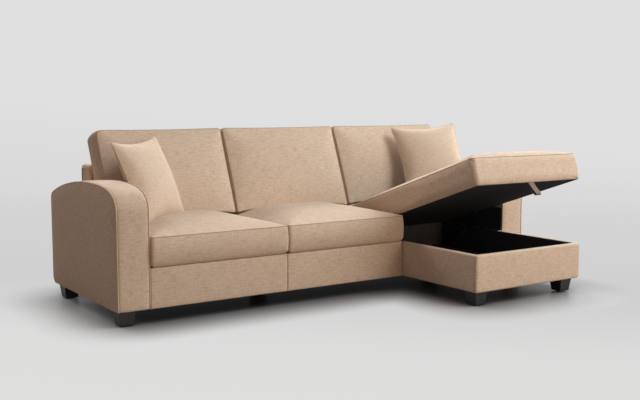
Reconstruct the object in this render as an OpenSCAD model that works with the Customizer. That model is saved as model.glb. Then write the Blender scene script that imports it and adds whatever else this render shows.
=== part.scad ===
// Corner storage sofa with a chaise whose upholstered seat lifts up over a storage box

/* [Overall] */
// Width of each arm
arm_w = 163; // [140:1:200]
// Width of each of the two seat cushions
seat_w = 750; // [650:5:850]
// Width of the chaise
chaise_w = 770; // [680:5:860]
// Depth of the arms, front to back
arm_depth = 916; // [860:2:980]
// Height of the arm at its highest point
arm_h = 648; // [600:2:700]
// Reach of the chaise in front of the arms
chaise_reach = 586; // [450:2:700]

/* [Base] */
// Height of the feet with their glides
foot_h = 70; // [50:1:90]
// Height of the upholstered base
base_h = 194; // [170:1:220]
// Thickness of padded fabric on a board
cover_t = 6; // [4:1:10]
// Thickness of the seat frame boards
rail_t = 22; // [18:1:28]
// Depth of the ledge that the webbing is stapled to at the back
ledge_t = 22; // [18:1:30]
// Thickness of the black cloth under the seat frame
cloth_t = 1.5; // [1:0.5:3]
// Thickness of the webbing straps
strap_t = 3; // [2:0.5:4]
// Width of the webbing straps
strap_w = 60; // [50:5:70]
// Number of webbing straps under each seat cushion
strap_count = 5; // [3:1:6]
// Thickness of the felt deck over the webbing
deck_t = 20; // [12:1:30]

/* [Feet] */
// Side of a foot at its top
foot_top = 84; // [66:1:92]
// Side of a foot at its bottom
foot_bottom = 66; // [50:1:74]
// Distance from a foot's outer faces to the edges that it stands under
foot_edge = 6; // [2:1:12]
// Distance from the back of the arm to the middle of a rear foot
rear_foot_inset = 122; // [104:1:180]
// Distance from the chaise's right side to the middle of its right foot
chaise_foot_inset = 94; // [80:1:160]
// Thickness of the glide under a foot
glide_t = 5; // [3:1:8]
// Radius of the glide
glide_r = 20; // [14:1:24]
// Radius of the threaded stud on top of a foot
stud_r = 4; // [3:0.5:5]
// Length of the stud above the foot
stud_len = 24; // [15:1:28]
// Side of the block that a foot screws into
block_w = 70; // [66:1:80]
// Height of that block
block_h = 30; // [26:1:36]

/* [Arms] */
// Thickness of the padded border that runs over the front, top and back
border_t = 12; // [9:1:16]
// Diameter of the piping along both edges
piping_d = 6; // [5:0.5:8]
// Radius of the arm's lower rear corner
arm_corner_r = 40; // [30:2:60]
// Depth by which an arm's side fabric stands back from its piping
side_inset = 2; // [1:0.5:3]
// Thickness of the padding on an arm's sides
side_pad_t = 12; // [8:1:16]
// Thickness of the plywood panels inside an arm
panel_t = 12; // [9:1:15]
// Size of the studs between the panels, along the arm
arm_stud_w = 40; // [30:1:60]

/* [Back] */
// Thickness of the upholstered back
back_t = 130; // [110:1:160]
// Height of the upholstered back above the floor
back_h = 700; // [660:2:740]
// Gap between the rear face of the back and the rear of the arms
back_inset = 20; // [6:1:25]
// Radius of the back's padded top edges
back_edge_r = 22; // [15:1:30]
// Width of a post inside the back
post_w = 60; // [45:5:80]
// Height of the top rail inside the back
top_rail_h = 60; // [45:5:80]
// Thickness of the padding over the top rail
top_pad_t = 20; // [12:1:26]

/* [Seat cushions] */
// Height of the cushion's side walls
cushion_wall = 143; // [120:1:165]
// Rise of the cushion's top over its walls
seat_crown = 30; // [15:1:40]
// Distance that a cushion stands out over the base front
seat_overhang = 14; // [5:1:30]
// Depth by which a seat cushion's sides are drawn in between the corners
seat_draw = 5; // [2:1:10]

/* [Back cushions] */
// Height of a back cushion along its lean
back_cushion_h = 464; // [440:2:520]
// Thickness between its edge seams
back_cushion_t = 130; // [110:1:150]
// Swell of its front face
back_crown = 26; // [15:1:40]
// Depth by which its sides are drawn in between the corners
back_draw = 9; // [3:1:16]
// Lean of the back cushions from upright, in degrees
back_lean = 21.8; // [16:0.2:24]
// Distance that the joint of the middle and right cushions lies right of the seat joint
back_joint_shift = 12; // [0:1:20]
// Distance that the right cushion's upper half spreads out over the arm
back_spread = 34; // [0:2:40]

/* [Throw cushions] */
// Side of a throw cushion, corner to corner
throw_w = 438; // [400:2:480]
// Height of the right one, which has sagged to the slope of the open lid
throw_right_h = 466; // [420:2:480]
// Swell of each face of a throw cushion
throw_crown = 72; // [50:1:90]
// Depth by which its sides are drawn in between the corners
throw_draw = 26; // [10:1:40]
// Thickness of its edge seam
throw_edge = 8; // [6:1:12]
// Distance from the left arm's inner face to the middle of the left one
throw_left_arm_gap = 196; // [180:1:230]
// Distance from the back's front face forward to that middle
throw_left_back_gap = 320.6; // [310:0.2:340]
// Height of that middle above the seat's edges
throw_left_height = 231.4; // [230:0.2:260]
// Distance from the right arm's inner face to the middle of the right one
throw_right_arm_gap = 190; // [180:1:230]
// Distance from the back's front face forward to that middle
throw_right_back_gap = 329; // [310:1:350]
// Height of that middle above the seat's edges
throw_right_height = 277.7; // [276:0.1:320]

/* [Storage chaise] */
// Thickness of the storage box's boards
box_t = 18; // [15:1:22]
// Thickness of the box's floor board
floor_t = 12; // [9:1:18]
// Thickness of the black lining of the box and the lid
lining_t = 2; // [1:0.5:4]
// Thickness of the fabric that wraps over the rim of the box
rim_t = 3; // [2:0.5:5]
// Angle at which the lid stands open, in degrees
lid_open = 18.3; // [10:0.1:20]
// Distance that the closed lid stands out over the box's front
lid_overhang = 14; // [5:1:30]
// Gap between each side of the lid and its neighbour
lid_gap = 3; // [2:0.5:6]
// Thickness of the lid's base board
lid_board_t = 18; // [15:1:22]
// Depth by which the lid's boards stand back from its fabric
lid_inset = 8; // [6:1:14]
// Distance from the back frame's front face to the lid's hinge axis
hinge_to_back = 264; // [240:2:290]
// Height of the hinge axis above the box's rim
hinge_rise = 117; // [112:1:120]

/* [Hinges and struts] */
// Radius of a hinge pin
pin_r = 4; // [3:0.5:5]
// Outer radius of a hinge knuckle
knuckle_r = 7.5; // [6.5:0.5:8]
// Thickness of a hinge leaf
leaf_t = 2.5; // [2:0.5:3.5]
// Height of a hinge leaf below its axis
leaf_h = 70; // [50:1:90]
// Width of a hinge
hinge_w = 120; // [90:5:150]
// Distance from the chaise's sides to the middle of a hinge
hinge_inset = 170; // [120:5:220]
// Radius of a strut's cylinder
tube_r = 10; // [9:0.5:12]
// Length of a strut's cylinder from its lower eye
tube_len = 172; // [160:1:180]
// Radius of a strut's rod
rod_r = 4; // [3:0.5:5]
// Distance from the inner wall of the box to the middle of a strut
strut_inset = 22; // [18:1:30]
// Distance from the hinge axis forward to a strut's lower pivot
strut_foot_y = 112; // [100:1:130]
// Depth of that pivot below the box's rim
strut_foot_drop = 129; // [120:1:135]
// Distance from the hinge axis forward to a strut's upper pivot on the closed lid
strut_head_y = 302; // [290:1:320]
// Depth of that pivot below the closed lid's underside
strut_head_drop = 20; // [16:1:26]
// Play round the upper pivot
head_play = 2.4; // [2:0.1:3]

/* [Pull tab] */
// Length of the pull tab
tab_len = 84; // [70:1:120]
// Width of the pull tab
tab_w = 38; // [25:1:50]
// Thickness of its webbing
tab_t = 3; // [2:0.5:4]
// Inner width of its loop
tab_loop = 10; // [8:0.5:16]
// Droop of the pull tab below the horizontal, in degrees
tab_droop = 47; // [30:1:70]

/* [Fits] */
// Gap between soft pieces that only rest on each other
soft_gap = 0.6; // [0.5:0.1:0.8]
// Radial clearance of a pin, rod or stud in its hole
fit_gap = 0.05; // [0.02:0.01:0.1]
// Gap between the pull tab and the lid's edge
tab_gap = 0.4; // [0.3:0.1:0.8]

/* [Hidden] */

$fn = 48;
overrun = 2;
fabric = [0.80, 0.70, 0.59];
fabric_shade = [0.74, 0.64, 0.53];
timber = [0.78, 0.66, 0.48];
black = [0.10, 0.10, 0.11];
steel = [0.62, 0.63, 0.65];

// Places across the width, from the left arm's outer face
overall_w = 2 * arm_w + 2 * seat_w + chaise_w;
seat_x = arm_w;
seat_mid_x = seat_x + seat_w;
chaise_x = seat_x + 2 * seat_w;
chaise_end_x = chaise_x + chaise_w;

// Heights
base_top = foot_h + base_h;
seat_top = base_top + cushion_wall;
rail_bottom = foot_h + cloth_t;
strap_top = base_top - deck_t;
rail_top = strap_top - strap_t;

// Depths, from the front of the arms, positive to the back
chaise_y = -chaise_reach;
back_rear = arm_depth - back_inset;
back_front = back_rear - back_t;
board_rear = back_rear - cover_t;
board_front = board_rear - rail_t;

// The lid, as it lies closed
hinge_y = back_front - hinge_to_back;
hinge_z = base_top + hinge_rise;
lid_bottom = base_top + soft_gap;
lid_front = chaise_y - lid_overhang;
knuckle_gap = 6.5;
knuckle_margin = 1.5;
lid_rail_rear = hinge_y - knuckle_r - knuckle_gap;
lid_rail_front = lid_rail_rear - rail_t;
box_rear_y = hinge_y + knuckle_r + knuckle_gap;
lid_rear = hinge_y - knuckle_r / 2;
knuckle_top = hinge_z + knuckle_r + knuckle_margin;
block_front = box_rear_y;

// The pull tab's root, at the middle of the open lid's front lower edge
tab_r = tab_loop / 2 + tab_t;
tab_dy = lid_front + seat_draw - hinge_y;
tab_dz = lid_bottom - hinge_z;
tab_root_y = hinge_y + tab_dy * cos(lid_open) + tab_dz * sin(lid_open);
tab_root_z = hinge_z - tab_dy * sin(lid_open) + tab_dz * cos(lid_open);
foremost = tab_root_y - (tab_len - tab_r) * cos(tab_droop) - tab_r;
middle_y = (foremost + arm_depth) / 2;

// The struts, worked out at the pose in which the lid stands open
strut_foot_z = base_top - strut_foot_drop;
head_dy = -strut_head_y;
head_dz = lid_bottom - strut_head_drop - hinge_z;
strut_top_y = head_dy * cos(lid_open) + head_dz * sin(lid_open) + strut_foot_y;
strut_top_z = hinge_z - head_dy * sin(lid_open) + head_dz * cos(lid_open) - strut_foot_z;
strut_len = norm([strut_top_y, strut_top_z]);
strut_angle = atan2(strut_top_z, strut_top_y);

// Puts the origin under the middle of the sofa, on the floor
module sofa() {
    translate([-overall_w / 2, -middle_y, 0]) children();
}

// Turns the closed lid up to the angle at which it stands open
module lid_pose() {
    translate([0, hinge_y, hinge_z])
        rotate([-lid_open, 0, 0])
            translate([0, -hinge_y, -hinge_z]) children();
}

module board(low, high) {
    translate(low) cube(high - low);
}

// A point on a cubic curve through four handles
function bezier(p, t) =
    pow(1 - t, 3) * p[0] + 3 * t * pow(1 - t, 2) * p[1] + 3 * t * t * (1 - t) * p[2] + pow(t, 3) * p[3];

// Shares from -1 to 1 that crowd towards both ends
function crowded(n) = [for (i = [0:n]) -cos(180 * i / n)];

// Share of the full swell at shares u and v of the half sizes
function swell(u, v, power) = pow(max(0, (1 - u * u) * (1 - v * v)), power);

// Points of a cushion: width by depth, walls of a given height, a swell on each face.
// draw is how far the sides, the far edge and the near edge are drawn in.
function cushion_points(n, half, wall, crowns, draw, power) = [
    for (side = [1, -1]) for (u = crowded(n)) for (v = crowded(n)) [
        u * (half[0] - draw[0] * (1 - v * v)),
        v * (half[1] - draw[v > 0 ? 1 : 2] * (1 - u * u)),
        side * wall / 2 + side * crowns[side > 0 ? 0 : 1] * swell(u, v, power)
    ]
];

// Triangles of such a cushion
function cushion_faces(n) =
    let (row = n + 1, far = row * row)
    concat(
        [for (i = [0:n - 1]) for (j = [0:n - 1]) let (a = i * row + j, b = a + row) each [
            [a, a + 1, b + 1], [a, b + 1, b],
            [far + a, far + b, far + b + 1], [far + a, far + b + 1, far + a + 1]
        ]],
        [for (i = [0:n - 1]) let (a = i * row, b = a + row, c = a + n, d = b + n) each [
            [a, b, far + b], [a, far + b, far + a],
            [d, c, far + c], [d, far + c, far + d]
        ]],
        [for (j = [0:n - 1]) let (a = j + 1, b = j, c = n * row + j, d = c + 1) each [
            [a, b, far + b], [a, far + b, far + a],
            [c, d, far + d], [c, far + d, far + c]
        ]]
    );

/* Feet */
foot_front_left_at = [foot_edge + foot_top / 2, foot_edge + foot_top / 2];
foot_rear_left_at = [foot_front_left_at[0], arm_depth - rear_foot_inset];
foot_front_right_at = [overall_w - foot_front_left_at[0], foot_front_left_at[1]];
foot_rear_right_at = [foot_front_right_at[0], foot_rear_left_at[1]];
foot_chaise_left_at = [chaise_x + foot_front_left_at[0], chaise_y + foot_front_left_at[1]];
foot_chaise_right_at = [chaise_end_x - chaise_foot_inset, foot_chaise_left_at[1]];
foot_centre_at = [seat_mid_x + (rail_t + block_w) / 2, back_front / 2];
feet_at = [foot_front_left_at, foot_rear_left_at, foot_front_right_at, foot_rear_right_at,
    foot_chaise_left_at, foot_chaise_right_at, foot_centre_at];

// How far each block is moved from its foot to lie against the boards
arm_skin_t = side_pad_t + side_inset + panel_t;
arm_block_shift = arm_skin_t + block_w / 2 - foot_front_left_at[0];
front_block_shift = border_t + block_w / 2 - foot_front_left_at[1];
box_block_shift = cover_t + box_t + block_w / 2 - foot_front_left_at[0];
block_shifts = [
    [arm_block_shift, front_block_shift], [arm_block_shift, 0],
    [-arm_block_shift, front_block_shift], [-arm_block_shift, 0],
    [box_block_shift, box_block_shift], [0, box_block_shift], [0, 0]
];

module foot(at) {
    color(black) sofa() difference() {
        translate([at[0], at[1], glide_t])
            linear_extrude(height = foot_h - glide_t, scale = foot_top / foot_bottom)
                square(foot_bottom, center = true);
        translate([at[0], at[1], foot_h - stud_len])
            cylinder(r = stud_r + fit_gap, h = stud_len + overrun);
    }
}

module foot_front_left() { foot(foot_front_left_at); }
module foot_rear_left() { foot(foot_rear_left_at); }
module foot_chaise_left() { foot(foot_chaise_left_at); }
module foot_chaise_right() { foot(foot_chaise_right_at); }
module foot_front_right() { foot(foot_front_right_at); }
module foot_rear_right() { foot(foot_rear_right_at); }
module foot_centre() { foot(foot_centre_at); }

module foot_studs() {
    color(steel) sofa() for (at = feet_at)
        translate([at[0], at[1], foot_h - stud_len]) cylinder(r = stud_r, h = 2 * stud_len);
}

module foot_glides() {
    color(black) sofa() for (at = feet_at)
        translate([at[0], at[1], 0]) cylinder(r = glide_r, h = glide_t);
}

module mounting_blocks() {
    color(timber) sofa() for (i = [0:len(feet_at) - 1]) difference() {
        translate([feet_at[i][0] + block_shifts[i][0], feet_at[i][1] + block_shifts[i][1], rail_bottom])
            translate([-block_w / 2, -block_w / 2, 0]) cube([block_w, block_w, block_h]);
        translate([feet_at[i][0], feet_at[i][1], 0])
            cylinder(r = stud_r + fit_gap, h = foot_h + stud_len + overrun);
    }
}

/* Bolts that hold the arms and the chaise to the seat frame */
bolt_r = stud_r;
bolt_head_r = 2 * bolt_r;
bolt_head_h = bolt_r * 1.5;
bolt_z = (base_top + foot_h) / 2;
bolt_ys = [arm_depth / 6, arm_depth * 2 / 3];
bolt_spans = [
    [seat_x - arm_skin_t, seat_x + rail_t],
    [chaise_x - rail_t, chaise_x + cover_t + box_t],
    [chaise_end_x + arm_skin_t, chaise_end_x - cover_t - box_t]
];

module connector_holes() {
    for (span = bolt_spans) for (y = bolt_ys)
        translate([min(span), y, bolt_z]) rotate([0, 90, 0])
            translate([0, 0, -overrun])
                cylinder(r = bolt_r + fit_gap, h = abs(span[1] - span[0]) + 2 * overrun);
}

module connector_bolts() {
    color(steel) sofa() for (span = bolt_spans) for (y = bolt_ys)
        translate([span[0], y, bolt_z]) rotate([0, span[1] > span[0] ? 90 : -90, 0]) {
            cylinder(r = bolt_r, h = abs(span[1] - span[0]));
            translate([0, 0, -bolt_head_h]) cylinder(r = bolt_head_r, h = bolt_head_h);
        }
}

/* Seat frame */
module seat_front_rail() {
    color(timber) sofa() board([seat_x, cover_t, rail_bottom], [chaise_x, cover_t + rail_t, rail_top]);
}

module seat_rear_rail() {
    color(timber) sofa() {
        board([seat_x, board_front, rail_bottom], [chaise_x, board_rear, base_top]);
        board([seat_x, board_front - ledge_t, rail_bottom], [chaise_x, board_front, rail_top]);
    }
}

module seat_cross_rails() {
    color(timber) sofa() difference() {
        for (x = [seat_x, seat_mid_x - rail_t / 2, chaise_x - rail_t])
            board([x, cover_t + rail_t, rail_bottom], [x + rail_t, board_front - ledge_t, rail_top]);
        connector_holes();
    }
}

module seat_webbing() {
    pitch = seat_w / (strap_count + 1);
    color(black) sofa() for (start = [seat_x, seat_mid_x]) for (i = [1:strap_count])
        translate([start + i * pitch - strap_w / 2, cover_t, rail_top])
            cube([strap_w, board_front - cover_t, strap_t]);
}

module seat_deck() {
    color(black) sofa() board([seat_x, cover_t, strap_top], [chaise_x, board_front, base_top]);
}

module base_front_cover() {
    color(fabric) sofa() board([seat_x, 0, foot_h], [chaise_x, cover_t, base_top]);
}

module underside_cloth() {
    color(black) sofa() difference() {
        board([seat_x, cover_t, foot_h], [chaise_x, board_rear, rail_bottom]);
        translate([foot_centre_at[0], foot_centre_at[1], foot_h - overrun])
            cylinder(r = stud_r + fit_gap, h = cloth_t + 2 * overrun);
    }
}

/* Back */
back_board_top = back_h - top_pad_t;
post_top = back_board_top - top_rail_h;
post_xs = [seat_x, seat_mid_x - post_w / 2, chaise_x - post_w / 2, chaise_end_x - post_w];

module back_posts() {
    color(timber) sofa() for (x = post_xs)
        board([x, board_front, base_top], [x + post_w, board_rear, post_top]);
}

module back_top_rail() {
    color(timber) sofa() board([seat_x, board_front, post_top], [chaise_end_x, board_rear, back_board_top]);
}

// Side view of the padded back, which wraps over the top rail
module back_outline() {
    depth = board_rear - back_front;
    height = back_h - base_top;
    square([depth, height - back_edge_r]);
    translate([back_edge_r, 0]) square([depth - 2 * back_edge_r, height]);
    for (y = [back_edge_r, depth - back_edge_r])
        translate([y, height - back_edge_r]) circle(r = back_edge_r);
}

module back_pad() {
    color(fabric) sofa() difference() {
        translate([seat_x, back_front, base_top]) rotate([90, 0, 90])
            linear_extrude(height = chaise_end_x - seat_x) back_outline();
        board([seat_x - overrun, board_front, base_top - overrun],
            [chaise_end_x + overrun, board_rear + overrun, back_board_top]);
    }
}

module back_outer_cover() {
    color(fabric_shade) sofa() board([seat_x, board_rear, foot_h], [chaise_end_x, back_rear, back_h - back_edge_r]);
}

/* Arms: the outline seen from the side, in shares of the depth and the height */
arm_front_shares = [[0, 0.82], [0, 0.96], [0.12, 1], [0.37, 1]];
arm_top_shares = [[0.37, 1], [0.62, 1], [0.84, 0.935], [0.967, 0.867]];
arm_rear_shares = [[0.967, 0.867], [0.994, 0.852], [1, 0.826], [1, 0.78]];
curve_steps = 8;
corner_steps = 4;

function scaled(shares) = [for (s = shares) [s[0] * arm_depth, s[1] * arm_h]];
function curve(shares, first) = [for (i = [first:curve_steps]) bezier(scaled(shares), i / curve_steps)];
arm_curve = concat(curve(arm_front_shares, 0), curve(arm_top_shares, 1), curve(arm_rear_shares, 1));
arm_corner = [for (i = [0:corner_steps]) let (a = 90 * i / corner_steps)
    [arm_depth - arm_corner_r * (1 - cos(a)), foot_h + arm_corner_r * (1 - sin(a))]];
arm_path = concat([[0, foot_h]], arm_curve, arm_corner);

// The arm's outline drawn in by an amount at the front, top and back
module arm_outline(inset) {
    intersection() {
        offset(delta = -inset) polygon(concat([[0, foot_h - 2 * border_t]], arm_curve, arm_corner,
            [[arm_depth - arm_corner_r, foot_h - 2 * border_t]]));
        translate([0, foot_h]) square([arm_depth, arm_h]);
    }
}

// A slab of the arm's outline between two places across the width
module arm_slab(inset, from, to) {
    translate([from, 0, 0]) rotate([90, 0, 90]) linear_extrude(height = to - from) arm_outline(inset);
}

module arm_border(x) {
    color(fabric) sofa() translate([x, 0, 0]) difference() {
        arm_slab(0, piping_d, arm_w - piping_d);
        arm_slab(border_t, piping_d - overrun, arm_w - piping_d + overrun);
        board([0, border_t, foot_h - overrun], [arm_w, arm_depth - arm_corner_r - border_t, foot_h + overrun]);
    }
}

module arm_covers(x) {
    color(fabric_shade) sofa() difference() {
        translate([x, 0, 0]) {
            arm_slab(piping_d, side_inset, piping_d);
            arm_slab(border_t, piping_d, side_inset + side_pad_t);
            arm_slab(piping_d, arm_w - piping_d, arm_w - side_inset);
            arm_slab(border_t, arm_w - side_inset - side_pad_t, arm_w - piping_d);
        }
        connector_holes();
    }
}

// Plywood panels on both sides and the studs between them
module arm_frame(x) {
    inner = arm_skin_t;
    floor_z = rail_bottom + block_h;
    stud_top = arm_h * arm_rear_shares[3][1] - border_t;
    color(timber) sofa() difference() {
        translate([x, 0, 0]) {
            arm_slab(border_t, side_inset + side_pad_t, inner);
            arm_slab(border_t, arm_w - inner, arm_w - side_inset - side_pad_t);
            for (y = [border_t, arm_depth - rear_foot_inset - arm_stud_w / 2])
                board([inner, y, floor_z], [arm_w - inner, y + arm_stud_w, stud_top]);
            board([inner, border_t + arm_stud_w, stud_top - arm_stud_w],
                [arm_w - inner, arm_depth - rear_foot_inset - arm_stud_w / 2, stud_top]);
        }
        connector_holes();
    }
}

// Sweeps a many-sided tube along the arm's outline in the plane across the width at x
piping_sides = 6;
piping_r = piping_d / 2;
function along(path, i) = path[min(i + 1, len(path) - 1)] - path[max(i - 1, 0)];
function piping_ring(path, i) =
    let (d = along(path, i) / norm(along(path, i)), side = [d[1], -d[0]])
    [for (k = [0:piping_sides - 1]) let (a = 360 * k / piping_sides) [
        piping_r * cos(a),
        path[i][0] + side[0] * piping_r * (1 + sin(a)),
        path[i][1] + side[1] * piping_r * (1 + sin(a))
    ]];

module piping(x) {
    rings = len(arm_path);
    sides = piping_sides;
    translate([x, 0, 0]) polyhedron(
        points = [for (i = [0:rings - 1]) each piping_ring(arm_path, i)],
        faces = concat(
            [[for (k = [0:sides - 1]) k]],
            [for (i = [0:rings - 2]) for (k = [0:sides - 1])
                let (a = i * sides + k, b = i * sides + (k + 1) % sides)
                each [[a, a + sides, b], [b, a + sides, b + sides]]],
            [[for (k = [0:sides - 1]) rings * sides - 1 - k]]
        ));
}

module arm_piping(x) {
    color(fabric) sofa() for (edge = [piping_r, arm_w - piping_r]) piping(x + edge);
}

module left_arm_frame() { arm_frame(0); }
module left_arm_border() { arm_border(0); }
module left_arm_covers() { arm_covers(0); }
module left_arm_piping() { arm_piping(0); }
module right_arm_frame() { arm_frame(chaise_end_x); }
module right_arm_border() { arm_border(chaise_end_x); }
module right_arm_covers() { arm_covers(chaise_end_x); }
module right_arm_piping() { arm_piping(chaise_end_x); }

/* Storage box under the chaise */
box_x = chaise_x + cover_t;
box_end_x = chaise_end_x - cover_t;
box_in_x = box_x + box_t;
box_in_end_x = box_end_x - box_t;
box_front_y = chaise_y + cover_t;
box_in_y = box_front_y + box_t;
floor_z = rail_bottom + block_h;
floor_top = floor_z + floor_t;
board_top = base_top - rim_t;
strut_xs = [box_in_x + lining_t + strut_inset, box_in_end_x - lining_t - strut_inset];

module box_front_board() {
    color(timber) sofa() board([box_x, box_front_y, rail_bottom], [box_end_x, box_in_y, board_top]);
}

module box_side_boards() {
    color(timber) sofa() difference() {
        for (x = [box_x, box_in_end_x])
            board([x, box_in_y, rail_bottom], [x + box_t, board_front, board_top]);
        connector_holes();
    }
}

// Rises behind the lid to carry the hinges
module box_rear_board() {
    color(timber) sofa() board([box_in_x, box_rear_y, rail_bottom], [box_in_end_x, box_rear_y + box_t, knuckle_top]);
}

module box_floor() {
    color(timber) sofa() board([box_in_x, box_in_y, floor_z], [box_in_end_x, box_rear_y, floor_top]);
}

module box_lining() {
    rear = box_rear_y - lining_t;
    front = box_in_y + lining_t;
    lining_top = board_top;
    color(black) sofa() {
        board([box_in_x, box_in_y, floor_top], [box_in_end_x, box_rear_y, floor_top + lining_t]);
        board([box_in_x, box_in_y, floor_top + lining_t], [box_in_end_x, front, lining_top]);
        board([box_in_x, rear, floor_top + lining_t], [box_in_end_x, box_rear_y, lining_top]);
        for (x = [box_in_x, box_in_end_x - lining_t])
            board([x, front, floor_top + lining_t], [x + lining_t, rear, lining_top]);
    }
}

module chaise_front_cover() {
    color(fabric) sofa() {
        board([chaise_x, chaise_y, foot_h], [chaise_end_x, box_front_y, base_top]);
        board([box_x, box_front_y, board_top], [box_end_x, box_in_y + lining_t, base_top]);
    }
}

module chaise_side_covers() {
    cap_w = box_t + lining_t;
    color(fabric_shade) sofa() difference() {
        union() {
            board([chaise_x, box_front_y, foot_h], [box_x, board_rear, base_top]);
            board([box_end_x, box_front_y, foot_h], [chaise_end_x, board_rear, base_top]);
            board([box_x, box_in_y + lining_t, board_top], [box_x + cap_w, box_rear_y, base_top]);
            board([box_end_x - cap_w, box_in_y + lining_t, board_top], [box_end_x, box_rear_y, base_top]);
        }
        connector_holes();
    }
}

// The shelf behind the box and the board across the back of the chaise
module chaise_rear_boards() {
    color(timber) sofa() {
        board([box_in_x, box_rear_y + box_t, base_top - box_t], [box_in_end_x, board_front, base_top]);
        board([box_x, board_front, rail_bottom], [box_end_x, board_rear, base_top]);
    }
}

cushion_steps = 12;
seat_power = 0.36;
throw_power = 0.78;

// A back cushion leans so that its rear face rests on the back's rounded top edge.
// Its near edge is cut level, because it stands on the seat.
lean_run = back_edge_r + soft_gap + (back_h - back_edge_r - seat_top - seat_crown) * sin(back_lean);
rear_foot_y = back_front + back_edge_r - lean_run / cos(back_lean);
front_foot_y = rear_foot_y - back_cushion_t / cos(back_lean);
seat_half_y = (back_front + seat_overhang) / 2;
stand_crown = seat_crown * swell(0, (front_foot_y - back_front + seat_half_y) / seat_half_y, seat_power);
back_foot_z = seat_top + stand_crown + soft_gap;

// A seat cushion's solid between two places across the width and along the depth
module seat_form(from, to, bottom, crown) {
    half = (to - from) / 2;
    wall = seat_top - bottom;
    translate([from[0] + half[0], from[1] + half[1], bottom + wall / 2])
        polyhedron(
            points = cushion_points(cushion_steps, half, wall, [crown, 0],
                [seat_draw, seat_draw, seat_draw], seat_power),
            faces = cushion_faces(cushion_steps));
}

// Fixed cushion behind the lid, which carries the right back cushion
module rear_seat_block() {
    color(fabric) sofa() difference() {
        seat_form([chaise_x + soft_gap, block_front], [chaise_end_x - soft_gap, back_front], base_top, stand_crown);
        board([chaise_x - overrun, block_front - overrun, base_top - overrun],
            [chaise_end_x + overrun, box_rear_y + box_t, knuckle_top]);
    }
}

/* Lid, drawn closed and turned up */
module lid_board() {
    color(timber) sofa() lid_pose()
        board([chaise_x + lid_gap + lid_inset, lid_front + lid_inset, lid_bottom + lining_t],
            [chaise_end_x - lid_gap - lid_inset, lid_rail_rear, lid_bottom + lining_t + lid_board_t]);
}

module lid_rear_rail() {
    color(timber) sofa() lid_pose()
        board([chaise_x + lid_gap + lid_inset, lid_rail_front, lid_bottom + lining_t + lid_board_t],
            [chaise_end_x - lid_gap - lid_inset, lid_rail_rear, hinge_z]);
}

module lid_lining() {
    color(black) sofa() lid_pose()
        board([chaise_x + lid_gap + lid_inset, lid_front + lid_inset, lid_bottom],
            [chaise_end_x - lid_gap - lid_inset, lid_rail_rear, lid_bottom + lining_t]);
}

module lid_cushion() {
    color(fabric) sofa() lid_pose() difference() {
        seat_form([chaise_x + lid_gap, lid_front], [chaise_end_x - lid_gap, lid_rear], lid_bottom, seat_crown);
        board([chaise_x + lid_gap + lid_inset, lid_front + lid_inset, lid_bottom - overrun],
            [chaise_end_x - lid_gap - lid_inset, lid_rear + overrun, lid_bottom + lining_t + lid_board_t]);
        board([chaise_x, lid_rail_front, lid_bottom - overrun], [chaise_end_x, lid_rear + overrun, knuckle_top]);
    }
}

// A webbing loop that hangs forward from the lid's front lower edge
module pull_tab() {
    straight = tab_len - 2 * tab_r;
    color(fabric_shade) sofa()
        translate([(chaise_x + chaise_end_x) / 2 - tab_w / 2, tab_root_y, tab_root_z])
            rotate([90, 0, 90]) rotate(180 + tab_droop) translate([tab_r + tab_gap, 0])
                linear_extrude(height = tab_w) difference() {
                    tab_outline(tab_r, straight - tab_gap);
                    tab_outline(tab_loop / 2, straight - tab_gap);
                }
}

module tab_outline(radius, straight) {
    circle(r = radius);
    translate([straight, 0]) circle(r = radius);
    translate([0, -radius]) square([straight, 2 * radius]);
}

/* Hinges: five knuckles on one pin, three fixed and two on the lid */
knuckle_count = 5;
knuckle_w = hinge_w / knuckle_count;
knuckle_play = 0.5;
hinge_xs = [chaise_x + hinge_inset, chaise_end_x - hinge_inset];

module knuckles(indices) {
    for (i = indices)
        translate([(i - knuckle_count / 2) * knuckle_w + knuckle_play / 2, 0, 0])
            rotate([0, 90, 0]) cylinder(r = knuckle_r, h = knuckle_w - knuckle_play);
}

module knuckle_tabs(indices, low, high) {
    for (i = indices)
        translate([(i - knuckle_count / 2) * knuckle_w + knuckle_play / 2, low[0], low[1]])
            cube([knuckle_w - knuckle_play, high[0] - low[0], high[1] - low[1]]);
}

module pin_bore() {
    translate([-hinge_w, 0, 0]) rotate([0, 90, 0]) cylinder(r = pin_r + fit_gap, h = 2 * hinge_w);
}

leaf_reach = knuckle_r + knuckle_gap;

module hinge_box_leaves() {
    color(steel) sofa() for (x = hinge_xs) translate([x, hinge_y, hinge_z]) difference() {
        union() {
            knuckles([0, 2, 4]);
            knuckle_tabs([0, 2, 4], [0, knuckle_r - leaf_t], [leaf_reach, knuckle_r]);
            board([-hinge_w / 2, leaf_reach - leaf_t, -leaf_h], [hinge_w / 2, leaf_reach, knuckle_r]);
        }
        pin_bore();
    }
}

module hinge_lid_leaves() {
    color(steel) sofa() lid_pose() for (x = hinge_xs) translate([x, hinge_y, hinge_z]) difference() {
        union() {
            knuckles([1, 3]);
            knuckle_tabs([1, 3], [-leaf_reach, -leaf_t / 2], [-pin_r, leaf_t / 2]);
            board([-hinge_w / 2, -leaf_reach, -leaf_h], [hinge_w / 2, leaf_t - leaf_reach, leaf_t / 2]);
        }
        pin_bore();
    }
}

module hinge_pins() {
    color(steel) sofa() for (x = hinge_xs)
        translate([x - hinge_w / 2, hinge_y, hinge_z]) rotate([0, 90, 0]) cylinder(r = pin_r, h = hinge_w);
}

/* Struts: a cylinder that swings on the box and a rod that slides in it */
bracket_t = leaf_t;
bracket_w = 2 * tube_r;
eye_r = tube_r;
eye_w = 3 * rod_r;
eye_play = 1;
stud_reach = strut_inset + eye_w / 2 + eye_play;
gland_len = tube_r;
tube_wall = 1.5;
rod_stay = tube_len / 5;
rod_len = strut_len - tube_len + rod_stay;
piston_len = tube_r;

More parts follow.
